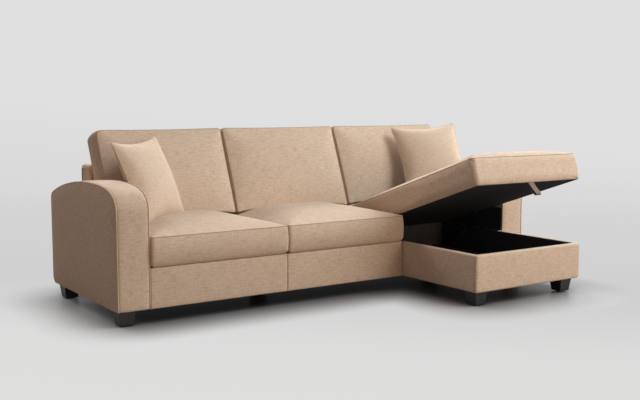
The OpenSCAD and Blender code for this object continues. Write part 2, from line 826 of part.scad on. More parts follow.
// Turns a strut drawn along +Y so that it points from its lower pivot to its upper one
module strut_pose(x) {
    translate([x, hinge_y - strut_foot_y, strut_foot_z]) rotate([strut_angle, 0, 0]) children();
}

module strut_box_brackets() {
    color(steel) sofa() for (side = [0, 1]) {
        wall = side == 0 ? box_in_x + lining_t : box_in_end_x - lining_t;
        translate([wall, hinge_y - strut_foot_y, strut_foot_z]) mirror([side, 0, 0]) {
            translate([0, -bracket_w / 2, -tube_r]) cube([bracket_t, bracket_w, 2 * bracket_w]);
            rotate([0, 90, 0]) cylinder(r = pin_r, h = stud_reach);
        }
    }
}

// Angle plates under the lid, with the studs that the rods hang on
module strut_lid_brackets() {
    color(steel) sofa() lid_pose() for (side = [0, 1]) {
        mid = strut_xs[side];
        translate([mid, hinge_y - strut_head_y, lid_bottom - strut_head_drop]) mirror([side, 0, 0]) {
            plate = eye_w / 2 + eye_play;
            board([plate, -bracket_w / 2, -tube_r], [plate + bracket_t, bracket_w / 2, strut_head_drop]);
            board([plate, -bracket_w, strut_head_drop - bracket_t], [plate + bracket_w, bracket_w, strut_head_drop]);
            translate([-eye_w / 2, 0, 0]) rotate([0, 90, 0]) cylinder(r = pin_r, h = eye_w / 2 + plate);
        }
    }
}

module strut_tube(x) {
    color(black) sofa() strut_pose(x) difference() {
        union() {
            translate([-eye_w / 2, 0, 0]) rotate([0, 90, 0]) cylinder(r = eye_r, h = eye_w);
            rotate([-90, 0, 0]) translate([0, 0, eye_r]) cylinder(r = tube_r, h = tube_len - eye_r);
            translate([-eye_w / 2, 0, -eye_w / 2]) cube([eye_w, eye_r + tube_wall, eye_w]);
        }
        translate([-eye_w, 0, 0]) rotate([0, 90, 0]) cylinder(r = pin_r + fit_gap, h = 2 * eye_w);
        rotate([-90, 0, 0]) translate([0, 0, 2 * eye_r])
            cylinder(r = tube_r - tube_wall, h = tube_len - gland_len - 2 * eye_r);
        rotate([-90, 0, 0]) translate([0, 0, 2 * eye_r]) cylinder(r = rod_r + fit_gap, h = tube_len);
    }
}

module strut_rod(x) {
    color(steel) sofa() strut_pose(x) difference() {
        union() {
            rotate([-90, 0, 0]) translate([0, 0, strut_len - rod_len]) cylinder(r = rod_r, h = rod_len - pin_r - head_play);
            rotate([-90, 0, 0]) translate([0, 0, strut_len - rod_len])
                cylinder(r = tube_r - tube_wall - fit_gap, h = piston_len);
            translate([-eye_w / 2, strut_len, 0]) rotate([0, 90, 0]) cylinder(r = eye_r, h = eye_w);
        }
        translate([-eye_w, strut_len, 0]) rotate([0, 90, 0]) cylinder(r = pin_r + head_play, h = 2 * eye_w);
    }
}

module strut_tube_left() { strut_tube(strut_xs[0]); }
module strut_tube_right() { strut_tube(strut_xs[1]); }
module strut_rod_left() { strut_rod(strut_xs[0]); }
module strut_rod_right() { strut_rod(strut_xs[1]); }

/* Loose cushions */
module seat_cushion_left() {
    color(fabric) sofa() seat_form([seat_x + soft_gap, -seat_overhang],
        [seat_mid_x - soft_gap / 2, back_front - soft_gap], base_top + soft_gap, seat_crown);
}

module seat_cushion_right() {
    color(fabric) sofa() seat_form([seat_mid_x + soft_gap / 2, -seat_overhang],
        [chaise_x - soft_gap, back_front - soft_gap], base_top + soft_gap, seat_crown);
}

// Leans a point of a flat cushion back about its foot
function leaned(p, x) =
    let (s = p[1] + back_cushion_h / 2, t = p[2])
    let (up = s - t * tan(back_lean) * (1 - s / back_cushion_h))
    [
        x + p[0],
        (front_foot_y + rear_foot_y) / 2 + up * sin(back_lean) - t * cos(back_lean),
        back_foot_z + up * cos(back_lean) + t * sin(back_lean)
    ];

// Spreads the right half of the upper half of a flat cushion
function spread(p, half, by) =
    [p[0] + by * (p[0] / half[0] + 1) / 2 * max(0, p[1] / half[1]), p[1], p[2]];

module back_form(from, to, by) {
    mid = (from + to) / 2;
    half = [(to - from) / 2, back_cushion_h / 2];
    flat = cushion_points(cushion_steps, half, back_cushion_t, [back_crown, 0],
        [back_draw, back_draw, 0], seat_power);
    color(fabric) sofa() polyhedron(
        points = [for (p = flat) leaned(spread(p, half, by), mid)],
        faces = cushion_faces(cushion_steps));
}

module back_cushion_left() { back_form(seat_x + soft_gap, seat_mid_x - soft_gap / 2, 0); }
module back_cushion_centre() {
    back_form(seat_mid_x + soft_gap / 2, chaise_x + back_joint_shift - soft_gap / 2, 0);
}
module back_cushion_right() {
    back_form(chaise_x + back_joint_shift + soft_gap / 2, chaise_end_x - soft_gap, back_spread);
}

// Throw cushions: middle point, turn about the upright, lean back and roll, in degrees
throw_left_at = [seat_x + throw_left_arm_gap, back_front - throw_left_back_gap, seat_top + throw_left_height];
throw_left_turn = [36, 21.7, 2];
throw_right_at =
    [chaise_end_x - throw_right_arm_gap, back_front - throw_right_back_gap, seat_top + throw_right_height];
throw_right_turn = [-18, 30, 3.5];

module throw_form(at, turn, height) {
    flat = cushion_points(cushion_steps, [throw_w / 2, height / 2], throw_edge,
        [throw_crown, throw_crown], [throw_draw, throw_draw, throw_draw], throw_power);
    color(fabric_shade) sofa() translate(at) rotate([0, 0, turn[0]]) rotate([90 - turn[1], 0, 0])
        rotate([0, 0, turn[2]]) polyhedron(points = flat, faces = cushion_faces(cushion_steps));
}

module throw_cushion_left() { throw_form(throw_left_at, throw_left_turn, throw_w); }
module throw_cushion_right() { throw_form(throw_right_at, throw_right_turn, throw_right_h); }

foot_front_left();
foot_rear_left();
foot_chaise_left();
foot_chaise_right();
foot_front_right();
foot_rear_right();
foot_centre();
foot_studs();
foot_glides();
mounting_blocks();
seat_front_rail();
seat_rear_rail();
seat_cross_rails();
seat_webbing();
seat_deck();
base_front_cover();
underside_cloth();
back_posts();
back_top_rail();
back_pad();
back_outer_cover();
left_arm_frame();
left_arm_border();
left_arm_covers();
left_arm_piping();
right_arm_frame();
right_arm_border();
right_arm_covers();
right_arm_piping();
connector_bolts();
box_front_board();
box_side_boards();
box_rear_board();
box_floor();
box_lining();
chaise_front_cover();
chaise_side_covers();
chaise_rear_boards();
rear_seat_block();
lid_board();
lid_rear_rail();
lid_lining();
lid_cushion();
pull_tab();
hinge_box_leaves();
hinge_lid_leaves();
hinge_pins();
strut_box_brackets();
strut_lid_brackets();
strut_tube_left();
strut_tube_right();
strut_rod_left();
strut_rod_right();
seat_cushion_left();
seat_cushion_right();
back_cushion_left();
back_cushion_centre();
back_cushion_right();
throw_cushion_left();
throw_cushion_right();
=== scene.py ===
"""Upholstery, cushions, fittings, finishes, studio and camera for the storage sofa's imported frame."""

import math
from types import SimpleNamespace

import bmesh
import bpy
from bpy.props import FloatProperty, FloatVectorProperty, IntProperty, PointerProperty
from mathutils import Matrix, Vector
from mathutils.noise import noise as noise_at


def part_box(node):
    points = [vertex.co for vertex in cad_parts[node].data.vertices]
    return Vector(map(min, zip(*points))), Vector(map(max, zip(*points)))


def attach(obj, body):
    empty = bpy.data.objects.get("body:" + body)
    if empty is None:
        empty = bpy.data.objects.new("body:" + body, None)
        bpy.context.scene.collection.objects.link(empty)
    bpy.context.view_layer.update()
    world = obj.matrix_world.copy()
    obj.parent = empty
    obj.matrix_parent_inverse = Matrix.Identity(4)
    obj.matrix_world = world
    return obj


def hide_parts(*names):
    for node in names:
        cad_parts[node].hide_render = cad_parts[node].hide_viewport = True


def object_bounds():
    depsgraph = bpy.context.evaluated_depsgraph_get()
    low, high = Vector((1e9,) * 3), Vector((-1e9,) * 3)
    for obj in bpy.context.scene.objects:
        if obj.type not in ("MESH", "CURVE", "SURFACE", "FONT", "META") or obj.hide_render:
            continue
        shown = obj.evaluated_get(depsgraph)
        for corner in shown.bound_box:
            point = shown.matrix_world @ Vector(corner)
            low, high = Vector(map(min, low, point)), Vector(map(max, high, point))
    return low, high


bl_info = {
    "name": "Storage Sofa Upholstery",
    "version": (1, 0, 0),
    "blender": (4, 5, 0),
    "location": "View3D > Sidebar > Sofa",
    "description": "Dresses the storage sofa's frame with fabric, cushions, piping and fittings",
    "category": "Object",
}

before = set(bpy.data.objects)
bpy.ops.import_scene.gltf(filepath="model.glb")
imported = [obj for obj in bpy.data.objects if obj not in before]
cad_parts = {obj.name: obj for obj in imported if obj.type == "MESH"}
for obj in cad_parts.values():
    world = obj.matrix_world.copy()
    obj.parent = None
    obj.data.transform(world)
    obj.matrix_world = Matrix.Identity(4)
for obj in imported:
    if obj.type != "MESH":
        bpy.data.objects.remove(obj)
cad_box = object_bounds()

# Places in the row frame, in metres, read from the frame's own solids
PIPE_LOW, PIPE_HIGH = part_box("left_arm_piping")
BASE_LOW, BASE_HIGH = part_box("base_front_cover")
FRONT_LOW, FRONT_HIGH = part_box("chaise_front_cover")
PAD_LOW, PAD_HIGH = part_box("back_pad")
ARM_FRONT, ARM_REAR, ARM_TOP = PIPE_LOW.y, PIPE_HIGH.y, PIPE_HIGH.z
LEFT_ARM, RIGHT_ARM = (PIPE_LOW.x, PIPE_HIGH.x), (-PIPE_HIGH.x, -PIPE_LOW.x)
FLOOR_GAP, BASE_TOP = BASE_LOW.z, BASE_HIGH.z
SEAT_LEFT, CHAISE_LEFT, CHAISE_RIGHT = BASE_LOW.x, BASE_HIGH.x, FRONT_HIGH.x
SEAT_MIDDLE = (SEAT_LEFT + CHAISE_LEFT) / 2
CHAISE_FRONT, CHAISE_REAR = FRONT_LOW.y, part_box("chaise_side_covers")[1].y
BACK_FRONT, BACK_REAR, BACK_TOP = PAD_LOW.y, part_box("back_outer_cover")[1].y, PAD_HIGH.z
SEAT_TOP = BASE_TOP + 0.143

# The arm's outline from the side: handles of three curves, in shares of its depth and height
ARM_CURVES = (
    ((0, 0.82), (0, 0.96), (0.12, 1), (0.37, 1)),
    ((0.37, 1), (0.62, 1), (0.84, 0.935), (0.967, 0.867)),
    ((0.967, 0.867), (0.994, 0.852), (1, 0.826), (1, 0.78)),
)
ARM_CORNER = 0.04
BACK_EDGE = 0.022

# The lid's hinge axis and the angle at which the lid stands open
HINGE_Y, HINGE_Z = 0.36195, 0.381
LID_OPEN = math.radians(18.3)

BACK_LEAN = math.radians(21.8)
FOOT_TAPER = 66 / 84

# The cushions' cloth: how firmly its seams are held and creased, how uneven its fill is, and its simulation
SEAM_HOLD, SEAM_CREASE, UNEVEN = 0.9, 0.7, 0.0018
THIN_WALL = 0.02
CLOTH = {
    "quality": 4, "mass": 0.35, "tension_stiffness": 20, "compression_stiffness": 20, "shear_stiffness": 8,
    "bending_stiffness": 3.0, "tension_damping": 8, "air_damping": 2, "use_pressure": True,
    "uniform_pressure_force": 4.0, "vertex_group_mass": "seams"}

# Points that lie closer together than this are the same
SAME = 1e-6

# The photo's view, and the studio: tones are linear, and lamps have a place, an aim, sides and a colour
CAMERA_PLACE, CAMERA_YAW, CAMERA_DIP = (-2.8413, -4.06295, 1.025), math.radians(34.08), math.radians(6.004)
SENSOR, LENS = 36.0, 919.885 / 640 * 36.0
WALL_TONE = (0.745, 0.743, 0.744)
# Tones of the backdrop's glow from in front of the sofa to high on the wall, darkest around the sofa: a painted
# falloff of light
FLOOR_TONES = ((0.0, 0.74), (0.07, 0.73), (0.19, 0.63), (0.35, 0.655), (0.6, 0.70), (0.8, 0.745))
LAMPS = {
    "key": ((2.9, -3.3, 4.3), (0.2, 0.0, 0.4), (3.8, 3.8), (0.82, 0.925, 1.0)),
    "right": ((5.0, 0.6, 3.0), (0.0, 0.0, 0.4), (3.0, 3.0), (0.79, 0.895, 1.0)),
    "low": ((1.0, -5.5, 1.25), (0.2, 0.0, 0.4), (3.0, 1.6), (1.0, 0.75, 0.56)),
    "left": ((-3.6, -0.9, 2.0), (-1.3, 0.2, 0.4), (2.0, 2.0), (1.0, 0.78, 0.68)),
    "rear": ((0.0, 4.2, 3.6), (0.0, 0.4, 0.5), (5.0, 2.4), (1.0, 0.935, 0.95)),
}


def tone(name, description, default):
    return FloatVectorProperty(
        name=name, description=description, subtype="COLOR", size=3, min=0, max=1, default=default)


def length(name, description, low, high, default):
    return FloatProperty(name=name, description=description, unit="LENGTH", min=low, max=high, default=default)


def power(name, description, high, default):
    return FloatProperty(name=name, description=description, subtype="POWER", min=0, max=high, default=default)


class SofaColours(bpy.types.PropertyGroup):
    """Colours of the sofa's finishes"""

    linen: tone("Linen", "Main tone of the woven fabric", (0.61, 0.455, 0.335))
    linen_dark: tone("Linen slubs", "Darker threads of the woven fabric", (0.46, 0.328, 0.228))
    lining: tone("Lining", "Lining of the box and the lid", (0.045, 0.046, 0.048))
    foot: tone("Feet", "Stain of the wooden feet", (0.009, 0.009, 0.009))
    timber: tone("Boards", "Plywood of the frame", (0.52, 0.37, 0.22))
    steel: tone("Steel", "Hinges, rods and brackets", (0.56, 0.57, 0.58))


class SofaSizes(bpy.types.PropertyGroup):
    """Sizes of the sofa's upholstery"""

    side_swell: length("Side swell", "How far an arm's outer side fabric stands out", 0, 0.01, 0.009)
    band_swell: length("Band swell", "Crown of the band over an arm's front and top", 0, 0.008, 0.003)
    welt: length("Welt radius", "Radius of the seams round the seat cushions", 0.001, 0.004, 0.0022)
    thread: length("Thread pitch", "Distance between two threads of the weave", 0.0005, 0.003, 0.0013)
    cell: length("Cloth cell", "Side of a square of the cushions' cloth", 0.008, 0.03, 0.0135)
    swell_frames: IntProperty(
        name="Swell frames", description="Frames for which the cushions' cloth swells", min=5, max=40, default=20)


class SofaStudio(bpy.types.PropertyGroup):
    """Studio light and backdrop"""

    key: power("Key light", "Power of the large lamp at the front right", 2000, 331)
    right: power("Right light", "Power of the large lamp at the right", 2000, 280)
    low: power("Low light", "Power of the low warm lamp in front", 500, 92)
    left: power("Left light", "Power of the weak lamp at the left", 500, 13)
    rear: power("Rear light", "Power of the wide lamp above and behind the sofa", 2000, 335)
    fill: FloatProperty(
        name="Sky", description="Strength of the even light all round", min=0, max=2, default=0.12)
    bounce: FloatProperty(
        name="Bounce", description="Share of its light that the floor throws back on the sofa",
        subtype="FACTOR", min=0, max=1, default=0.36)
    paper: tone("Backdrop", "Tone of the floor and backdrop", (0.49, 0.455, 0.435))


def colours():
    return bpy.context.scene.sofa_colours


def sizes():
    return bpy.context.scene.sofa_sizes


def studio():
    return bpy.context.scene.sofa_studio


# Materials


def wire(tree, node, inputs):
    """Sets a node's inputs, or links those for which a socket is given."""
    for key, value in inputs.items():
        if isinstance(value, bpy.types.NodeSocket):
            tree.links.new(value, node.inputs[key])
        else:
            node.inputs[key].default_value = value


def put(tree, kind, inputs=None, **settings):
    """Adds a shader node with its settings and inputs."""
    node = tree.nodes.new("ShaderNode" + kind)
    for key, value in settings.items():
        setattr(node, key, value)
    wire(tree, node, inputs or {})
    return node


def maths(tree, operation, *values, clamp=False):
    return put(tree, "Math", dict(enumerate(values)), operation=operation, use_clamp=clamp).outputs[0]


def weighed(tree, *terms):
    """The sum of values, each times its weight."""
    parts = [maths(tree, "MULTIPLY", *term) for term in terms]
    total = parts[0]
    for part in parts[1:]:
        total = maths(tree, "ADD", total, part)
    return total


def ripple(tree, value, pitch):
    """Ridges at an even pitch."""
    turns = maths(tree, "MULTIPLY", maths(tree, "DIVIDE", value, pitch), math.pi)
    return maths(tree, "ABSOLUTE", maths(tree, "SINE", turns))


def noise(tree, vector, stretch, detail=2.0, roughness=0.5):
    """Noise on a vector that is stretched by a factor along each axis; its value."""
    scaled = put(tree, "VectorMath", {0: vector, 1: stretch}, operation="MULTIPLY")
    return put(tree, "TexNoise", {"Vector": scaled.outputs[0], "Scale": 1.0, "Detail": detail,
                                  "Roughness": roughness}).outputs["Fac"]


def spread(tree, value, low, high):
    """Maps a value from low to high onto 0 to 1."""
    return put(tree, "MapRange", {"Value": value, "From Min": low, "From Max": high}).outputs["Result"]


def mix_colours(tree, factor, a, b):
    return put(tree, "Mix", {"Factor": factor, 6: a, 7: b}, data_type="RGBA").outputs[2]


def bump(tree, height, distance, strength):
    return put(tree, "Bump", {"Height": height, "Distance": distance, "Strength": strength}).outputs[0]


def rgba(colour, by=1.0):
    return (colour[0] * by, colour[1] * by, colour[2] * by, 1.0)


def seen_rays(tree):
    """1 for rays that show a surface, straight or mirrored, and 0 for those that carry light from it."""
    ray = put(tree, "LightPath")
    shown = maths(tree, "ADD", ray.outputs["Is Camera Ray"], ray.outputs["Is Glossy Ray"])
    return maths(tree, "ADD", shown, ray.outputs["Is Transmission Ray"], clamp=True)


def weave_group():
    """Plain linen weave with slubs: its colour and its height over a flat vector in metres."""
    known = bpy.data.node_groups.get("linen_weave")
    if known:
        return known
    tree = bpy.data.node_groups.new("linen_weave", "ShaderNodeTree")
    for way, name, kind in (
            ("INPUT", "Vector", "Vector"), ("INPUT", "Light", "Color"), ("INPUT", "Dark", "Color"),
            ("INPUT", "Pitch", "Float"), ("INPUT", "Contrast", "Float"), ("OUTPUT", "Color", "Color"),
            ("OUTPUT", "Height", "Float")):
        tree.interface.new_socket(name, in_out=way, socket_type="NodeSocket" + kind)
    given, result = tree.nodes.new("NodeGroupInput"), tree.nodes.new("NodeGroupOutput")
    vector, pitch = given.outputs["Vector"], given.outputs["Pitch"]
    split = put(tree, "SeparateXYZ", {0: vector})
    thread = maths(tree, "MULTIPLY", *(ripple(tree, split.outputs[axis], pitch) for axis in (0, 1)))
    slub = weighed(
        tree,
        (noise(tree, vector, (24, 170, 60), 2.0, 0.6), 0.40),
        (noise(tree, vector, (190, 27, 60), 2.0, 0.6), 0.26),
        (noise(tree, vector, (70, 600, 60), 1.0), 0.14),
        (noise(tree, vector, (640, 75, 60), 1.0), 0.10),
        (noise(tree, vector, (9, 9, 9), 3.0), 0.10))
    shade = maths(tree, "MULTIPLY", maths(tree, "SUBTRACT", slub, 0.5), given.outputs["Contrast"])
    shade = maths(tree, "ADD", shade, 0.62, clamp=True)
    relief = maths(tree, "ADD", maths(tree, "MULTIPLY", thread, 0.16), 0.90)
    shade = maths(tree, "MULTIPLY", shade, relief, clamp=True)
    wire(tree, result, {"Color": mix_colours(tree, shade, given.outputs["Dark"], given.outputs["Light"]),
                        "Height": weighed(tree, (thread, 0.45), (slub, 1.1))})
    return tree


def kept(make):
    """Makes each finish once, and hands the same one out again."""
    made = {}

    def find(name, *values):
        if name not in made:
            made[name] = make(name, *values)
        return made[name]

    return find


def new_material(name):
    """A new material, its tree, its Principled BSDF and its texture coordinates."""
    made = bpy.data.materials.new(name)
    made.use_nodes = True
    tree = made.node_tree
    tree.nodes.clear()
    shader = put(tree, "BsdfPrincipled")
    put(tree, "OutputMaterial", {"Surface": shader.outputs[0]})
    return made, tree, shader, put(tree, "TexCoord").outputs


@kept
def linen(name, shade=1.0, contrast=5.6, flat=True):
    """Woven linen over the piece's own UV map in metres, or over the object where a piece has none."""
    made, tree, shader, place = new_material(name)
    weave = put(tree, "Group", node_tree=weave_group())
    wire(tree, weave, {"Vector": place["UV" if flat else "Object"], "Light": rgba(colours().linen, shade),
                       "Dark": rgba(colours().linen_dark, shade), "Pitch": sizes().thread, "Contrast": contrast})
    wire(tree, shader, {"Base Color": weave.outputs["Color"], "Roughness": 0.92, "Specular IOR Level": 0.12,
                        "Sheen Weight": 0.04, "Sheen Roughness": 0.5,
                        "Normal": bump(tree, weave.outputs["Height"], 0.0006, 0.55)})
    return made


@kept
def felt(name, colour, grain=900.0):
    """Matted black or grey cloth with short fibres."""
    made, tree, shader, place = new_material(name)
    fibre = noise(tree, place["Object"], (grain, grain, grain), 3.0, 0.7)
    both = weighed(tree, (fibre, 0.6), (noise(tree, place["Object"], (14, 14, 14)), 0.4))
    wire(tree, shader, {"Base Color": mix_colours(tree, spread(tree, both, 0.3, 0.7), rgba(colour, 0.75),
                                                  rgba(colour, 1.25)),
                        "Roughness": 0.95, "Specular IOR Level": 0.05, "Normal": bump(tree, fibre, 0.0004, 0.4)})
    return made


@kept
def wood(name, colour, along, roughness, dark=0.72):
    """Grained wood or plywood; along is the stretch of the grain on each axis."""
    made, tree, shader, place = new_material(name)
    pores = noise(tree, place["Object"], tuple(8 * a for a in along))
    shade = weighed(tree, (noise(tree, place["Object"], along, 4.0, 0.6), 0.7), (pores, 0.3))
    shade = spread(tree, shade, 0.35, 0.65)
    wire(tree, shader, {"Base Color": mix_colours(tree, shade, rgba(colour, dark), rgba(colour, 1.1)),
                        "Roughness": maths(tree, "MULTIPLY_ADD", pores, 0.15, roughness - 0.07),
                        "Normal": bump(tree, shade, 0.0002, 0.35)})
    return made


@kept
def metal(name, colour, roughness, metallic=1.0):
    """Brushed or painted metal with fine scratches."""
    made, tree, shader, place = new_material(name)
    streak = noise(tree, place["Object"], (60, 900, 900), 3.0, 0.6)
    wire(tree, shader, {"Base Color": mix_colours(tree, streak, rgba(colour, 0.85), rgba(colour, 1.1)),
                        "Roughness": maths(tree, "MULTIPLY_ADD", streak, 0.18, roughness - 0.09),
                        "Metallic": metallic, "Normal": bump(tree, streak, 0.00005, 0.3)})
    return made


@kept
def webbing(name, colour):
    """Ribbed strap over the piece's UV map."""
    made, tree, shader, place = new_material(name)
    split = put(tree, "SeparateXYZ", {0: place["UV"]})
    rib, yarn = (ripple(tree, split.outputs[axis], pitch) for axis, pitch in ((0, 0.0019), (1, 0.0014)))
    slub = maths(tree, "MULTIPLY", noise(tree, place["UV"], (120, 500, 60)), 0.8)
    shade = maths(tree, "ADD", maths(tree, "MULTIPLY", rib, 0.4), slub, clamp=True)
    wire(tree, shader, {"Base Color": mix_colours(tree, shade, rgba(colour, 0.62), rgba(colour)),
                        "Roughness": 0.9, "Specular IOR Level": 0.1,
                        "Normal": bump(tree, maths(tree, "MULTIPLY_ADD", yarn, 0.6, rib), 0.0005, 0.6)})
    return made


def from_sofa(tree, place):
    """Distance on the floor from the sofa's plan, an L drawn in where its shadow is short."""
    right, rear = cad_box[1].x - 0.3, cad_box[1].y - 0.3
    gaps = []
    for left, front in ((cad_box[0].x + 0.12, ARM_FRONT), (CHAISE_LEFT, cad_box[0].y)):
        beside = []
        for axis, low, high in ((0, left, right), (1, front, rear)):
            over = maths(tree, "ABSOLUTE", maths(tree, "SUBTRACT", place.outputs[axis], (low + high) / 2))
            over = maths(tree, "MAXIMUM", maths(tree, "SUBTRACT", over, (high - low) / 2), 0.0)
            beside.append(maths(tree, "MULTIPLY", over, over))
        gaps.append(maths(tree, "SQRT", maths(tree, "ADD", *beside)))
    return maths(tree, "MINIMUM", *gaps)


def paper(name, colour):
    """Backdrop paper: lit and shaded by the lamps near the sofa, with a painted contact shadow near it, and further
    away a glow whose tone is graded along the floor and up the wall, a painted falloff of light.
    """
    made, tree, shader, place = new_material(name)
    seen = seen_rays(tree)
    mottle = noise(tree, place["Object"], (3, 3, 3))
    pale = mix_colours(tree, mottle, rgba(colour, 0.996), rgba(colour, 1.004))
    # Painted contact shadow: an ambient-occlusion node darkens the floor's colour and the strength of its glow near
    # the sofa
    painted_contact_shade = put(tree, "AmbientOcclusion", {"Distance": 0.34}, samples=16)
    painted_contact_shade = maths(tree, "POWER", painted_contact_shade.outputs["AO"], 1.5)
    shaded = mix_colours(tree, painted_contact_shade, (0, 0, 0, 1), pale)
    wire(tree, shader, {"Base Color": mix_colours(tree, seen, rgba(colour, studio().bounce), shaded),
                        "Roughness": 0.3, "Specular IOR Level": 0.2})
    split = put(tree, "SeparateXYZ", {0: place["Object"]})
    away = put(tree, "MapRange", {"Value": from_sofa(tree, split), "From Min": -0.05, "From Max": 0.36},
               interpolation_type="SMOOTHSTEP")
    # Painted falloff of light: the glow's tone is graded along the floor and up the wall by FLOOR_TONES
    ahead = maths(tree, "MULTIPLY", maths(tree, "ADD", split.outputs[0], split.outputs[1]), 0.7)
    ramp = put(tree, "ValToRGB", {"Fac": spread(tree, maths(tree, "ADD", ahead, split.outputs[2]), -2.5, 11.5)})
    ramp.color_ramp.interpolation = "EASE"
    while len(ramp.color_ramp.elements) < len(FLOOR_TONES):
        ramp.color_ramp.elements.new(0.5)
    for stop, (where, level) in zip(ramp.color_ramp.elements, FLOOR_TONES):
        stop.position = where
        stop.color = (level, level * 0.997, level * 0.992 + 0.006 * where, 1)
    glow = put(tree, "Emission", {"Color": ramp.outputs["Color"], "Strength": painted_contact_shade})
    mixed = put(tree, "MixShader", {0: maths(tree, "MULTIPLY", seen, away.outputs["Result"]),
                                    1: shader.outputs[0], 2: glow.outputs[0]})
    output = next(n for n in tree.nodes if n.type == "OUTPUT_MATERIAL")
    wire(tree, output, {"Surface": mixed.outputs[0]})
    return made


# Making pieces


def add(name, data):
    """Puts an object with this data into the scene."""
    obj = bpy.data.objects.new(name, data)
    bpy.context.scene.collection.objects.link(obj)
    return obj


def add_mesh(name, bm, smooth=True):
    """Turns a bmesh into an object in the scene."""
    for face in bm.faces:
        face.smooth = smooth
    mesh = bpy.data.meshes.new(name)
    bm.to_mesh(mesh)
    bm.free()
    return add(name, mesh)


def finish_piece(name, bm, *replaces, material=None, body="sofa_frame", slot="linen_fabric", smooth=True):
    """Turns a bmesh into a piece that rides on a body, in woven linen where no other material is given."""
    obj = add_mesh(name, bm, smooth)
    obj.data.materials.append(material or linen("woven_linen"))
    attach(obj, body)
    if replaces:
        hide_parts(*replaces)
    return obj


def modify(obj, name, kind, **settings):
    made = obj.modifiers.new(name, kind)
    for key, value in settings.items():
        setattr(made, key, value)


def thicken(obj, thickness, offset=-1.0):
    modify(obj, "thickness", "SOLIDIFY", thickness=thickness, offset=offset)


def soften(obj):
    modify(obj, "smooth", "SUBSURF", levels=1, render_levels=1)


def recalc(bm):
    bmesh.ops.recalc_face_normals(bm, faces=bm.faces)


def join(bm):
    """Joins points that lie in the same place, and turns the faces outward."""
    bmesh.ops.remove_doubles(bm, verts=bm.verts, dist=SAME)
    recalc(bm)


def face_out(bm, inside):
    """Turns the faces of an open sheet so that they point away from a place inside the piece."""
    recalc(bm)
    votes = sum(math.copysign(f.calc_area(), f.normal.dot(f.calc_center_median() - Vector(inside))) for f in bm.faces)
    if votes < 0:
        bmesh.ops.reverse_faces(bm, faces=bm.faces)


def flip_wrong(bm, wrong):
    """Turns over each face for which wrong(face) holds."""
    recalc(bm)
    for face in bm.faces:
        if wrong(face):
            face.normal_flip()


def arc(steps, parts):
    """Cosine and sine at steps of a right angle that is split into parts."""
    return [(math.cos(math.pi / 2 * k / parts), math.sin(math.pi / 2 * k / parts)) for k in steps]


def stops(length, edge, inner, turns=4):
    """Places from 0 to length: a few close together round each soft edge, and even ones between."""
    curve = [edge * (1 - c) for c, _ in arc(range(turns), turns)]
    middle = [edge + (length - 2 * edge) * k / inner for k in range(inner + 1)]
    return curve + middle + [length - c for c in reversed(curve)]


def runs(points):
    """Distance of each point from the first one, along the line."""
    made = [0.0]
    for a, b in zip(points, points[1:]):
        made.append(made[-1] + math.dist(a[:2], b[:2]))
    return made


def sheet(us, vs, place, uv, both=None):
    """A sheet of squares: place(u, v) is a point's place, and uv(u, v) its place on the flat cloth."""
    bm = both or bmesh.new()
    made = bmesh.ops.create_grid(bm, x_segments=len(us) - 1, y_segments=len(vs) - 1, size=0.5)
    layer = bm.loops.layers.uv.verify()
    flat = {}
    for vert in made["verts"]:
        u = us[round((vert.co.x + 0.5) * (len(us) - 1))]
        v = vs[round((vert.co.y + 0.5) * (len(vs) - 1))]
        flat[vert] = uv(u, v)
        vert.co = place(u, v)
    for face in {f for vert in made["verts"] for f in vert.link_faces}:
        for loop in face.loops:
            loop[layer].uv = flat[loop.vert]
    return bm


def tube(points, radius, closed=False, both=None):
    """A round cord along points, made by sweeping a circle."""
    curve = bpy.data.curves.new("cord", "CURVE")
    curve.dimensions = "3D"
    curve.bevel_depth = radius
    curve.bevel_resolution = 2
    curve.use_fill_caps = not closed
    spline = curve.splines.new("POLY")
    spline.points.add(len(points) - 1)
    for point, place in zip(spline.points, points):
        point.co = (*place, 1.0)
    spline.use_cyclic_u = closed
    holder = add("cord", curve)
    bpy.context.view_layer.update()
    swept = bpy.data.meshes.new_from_object(holder.evaluated_get(bpy.context.evaluated_depsgraph_get()))
    bpy.data.objects.remove(holder)
    bpy.data.curves.remove(curve)
    bm = both or bmesh.new()
    bm.from_mesh(swept)
    bpy.data.meshes.remove(swept)
    bmesh.ops.remove_doubles(bm, verts=bm.verts, dist=SAME)
    return bm


# Arms


def bezier(handles, t):
    a, b, c, d = handles
    weights = ((1 - t) ** 3, 3 * t * (1 - t) ** 2, 3 * t * t * (1 - t), t ** 3)
    return tuple(sum(w * p[k] for w, p in zip(weights, (a, b, c, d))) for k in (0, 1))


def arm_outline(inset, steps=14):
    """The arm's outline from the side, front bottom over the top to rear bottom, drawn in by inset."""
    depth, height = ARM_REAR - ARM_FRONT, ARM_TOP
    points = [(0.0, FLOOR_GAP + 0.025 * k) for k in range(19)]
    for handles in ARM_CURVES:
        points += [tuple(s * x for s, x in zip(bezier(handles, t / steps), (depth, height)))
                   for t in range(0 if handles is ARM_CURVES[0] else 1, steps + 1)]
    low, top = FLOOR_GAP + ARM_CORNER, points[-1][1]
    points += [(depth, top + (low - top) * k / 14) for k in range(1, 14)]
    points += [(depth - ARM_CORNER * (1 - c), low - ARM_CORNER * s) for c, s in arc(range(9), 8)]
    moved = []
    for i, here in enumerate(points):
        a, b = points[max(i - 1, 0)], points[min(i + 1, len(points) - 1)]
        run = Vector((b[0] - a[0], b[1] - a[1])).normalized()
        moved.append((ARM_FRONT + here[0] + run.y * inset, here[1] - run.x * inset))
    return moved


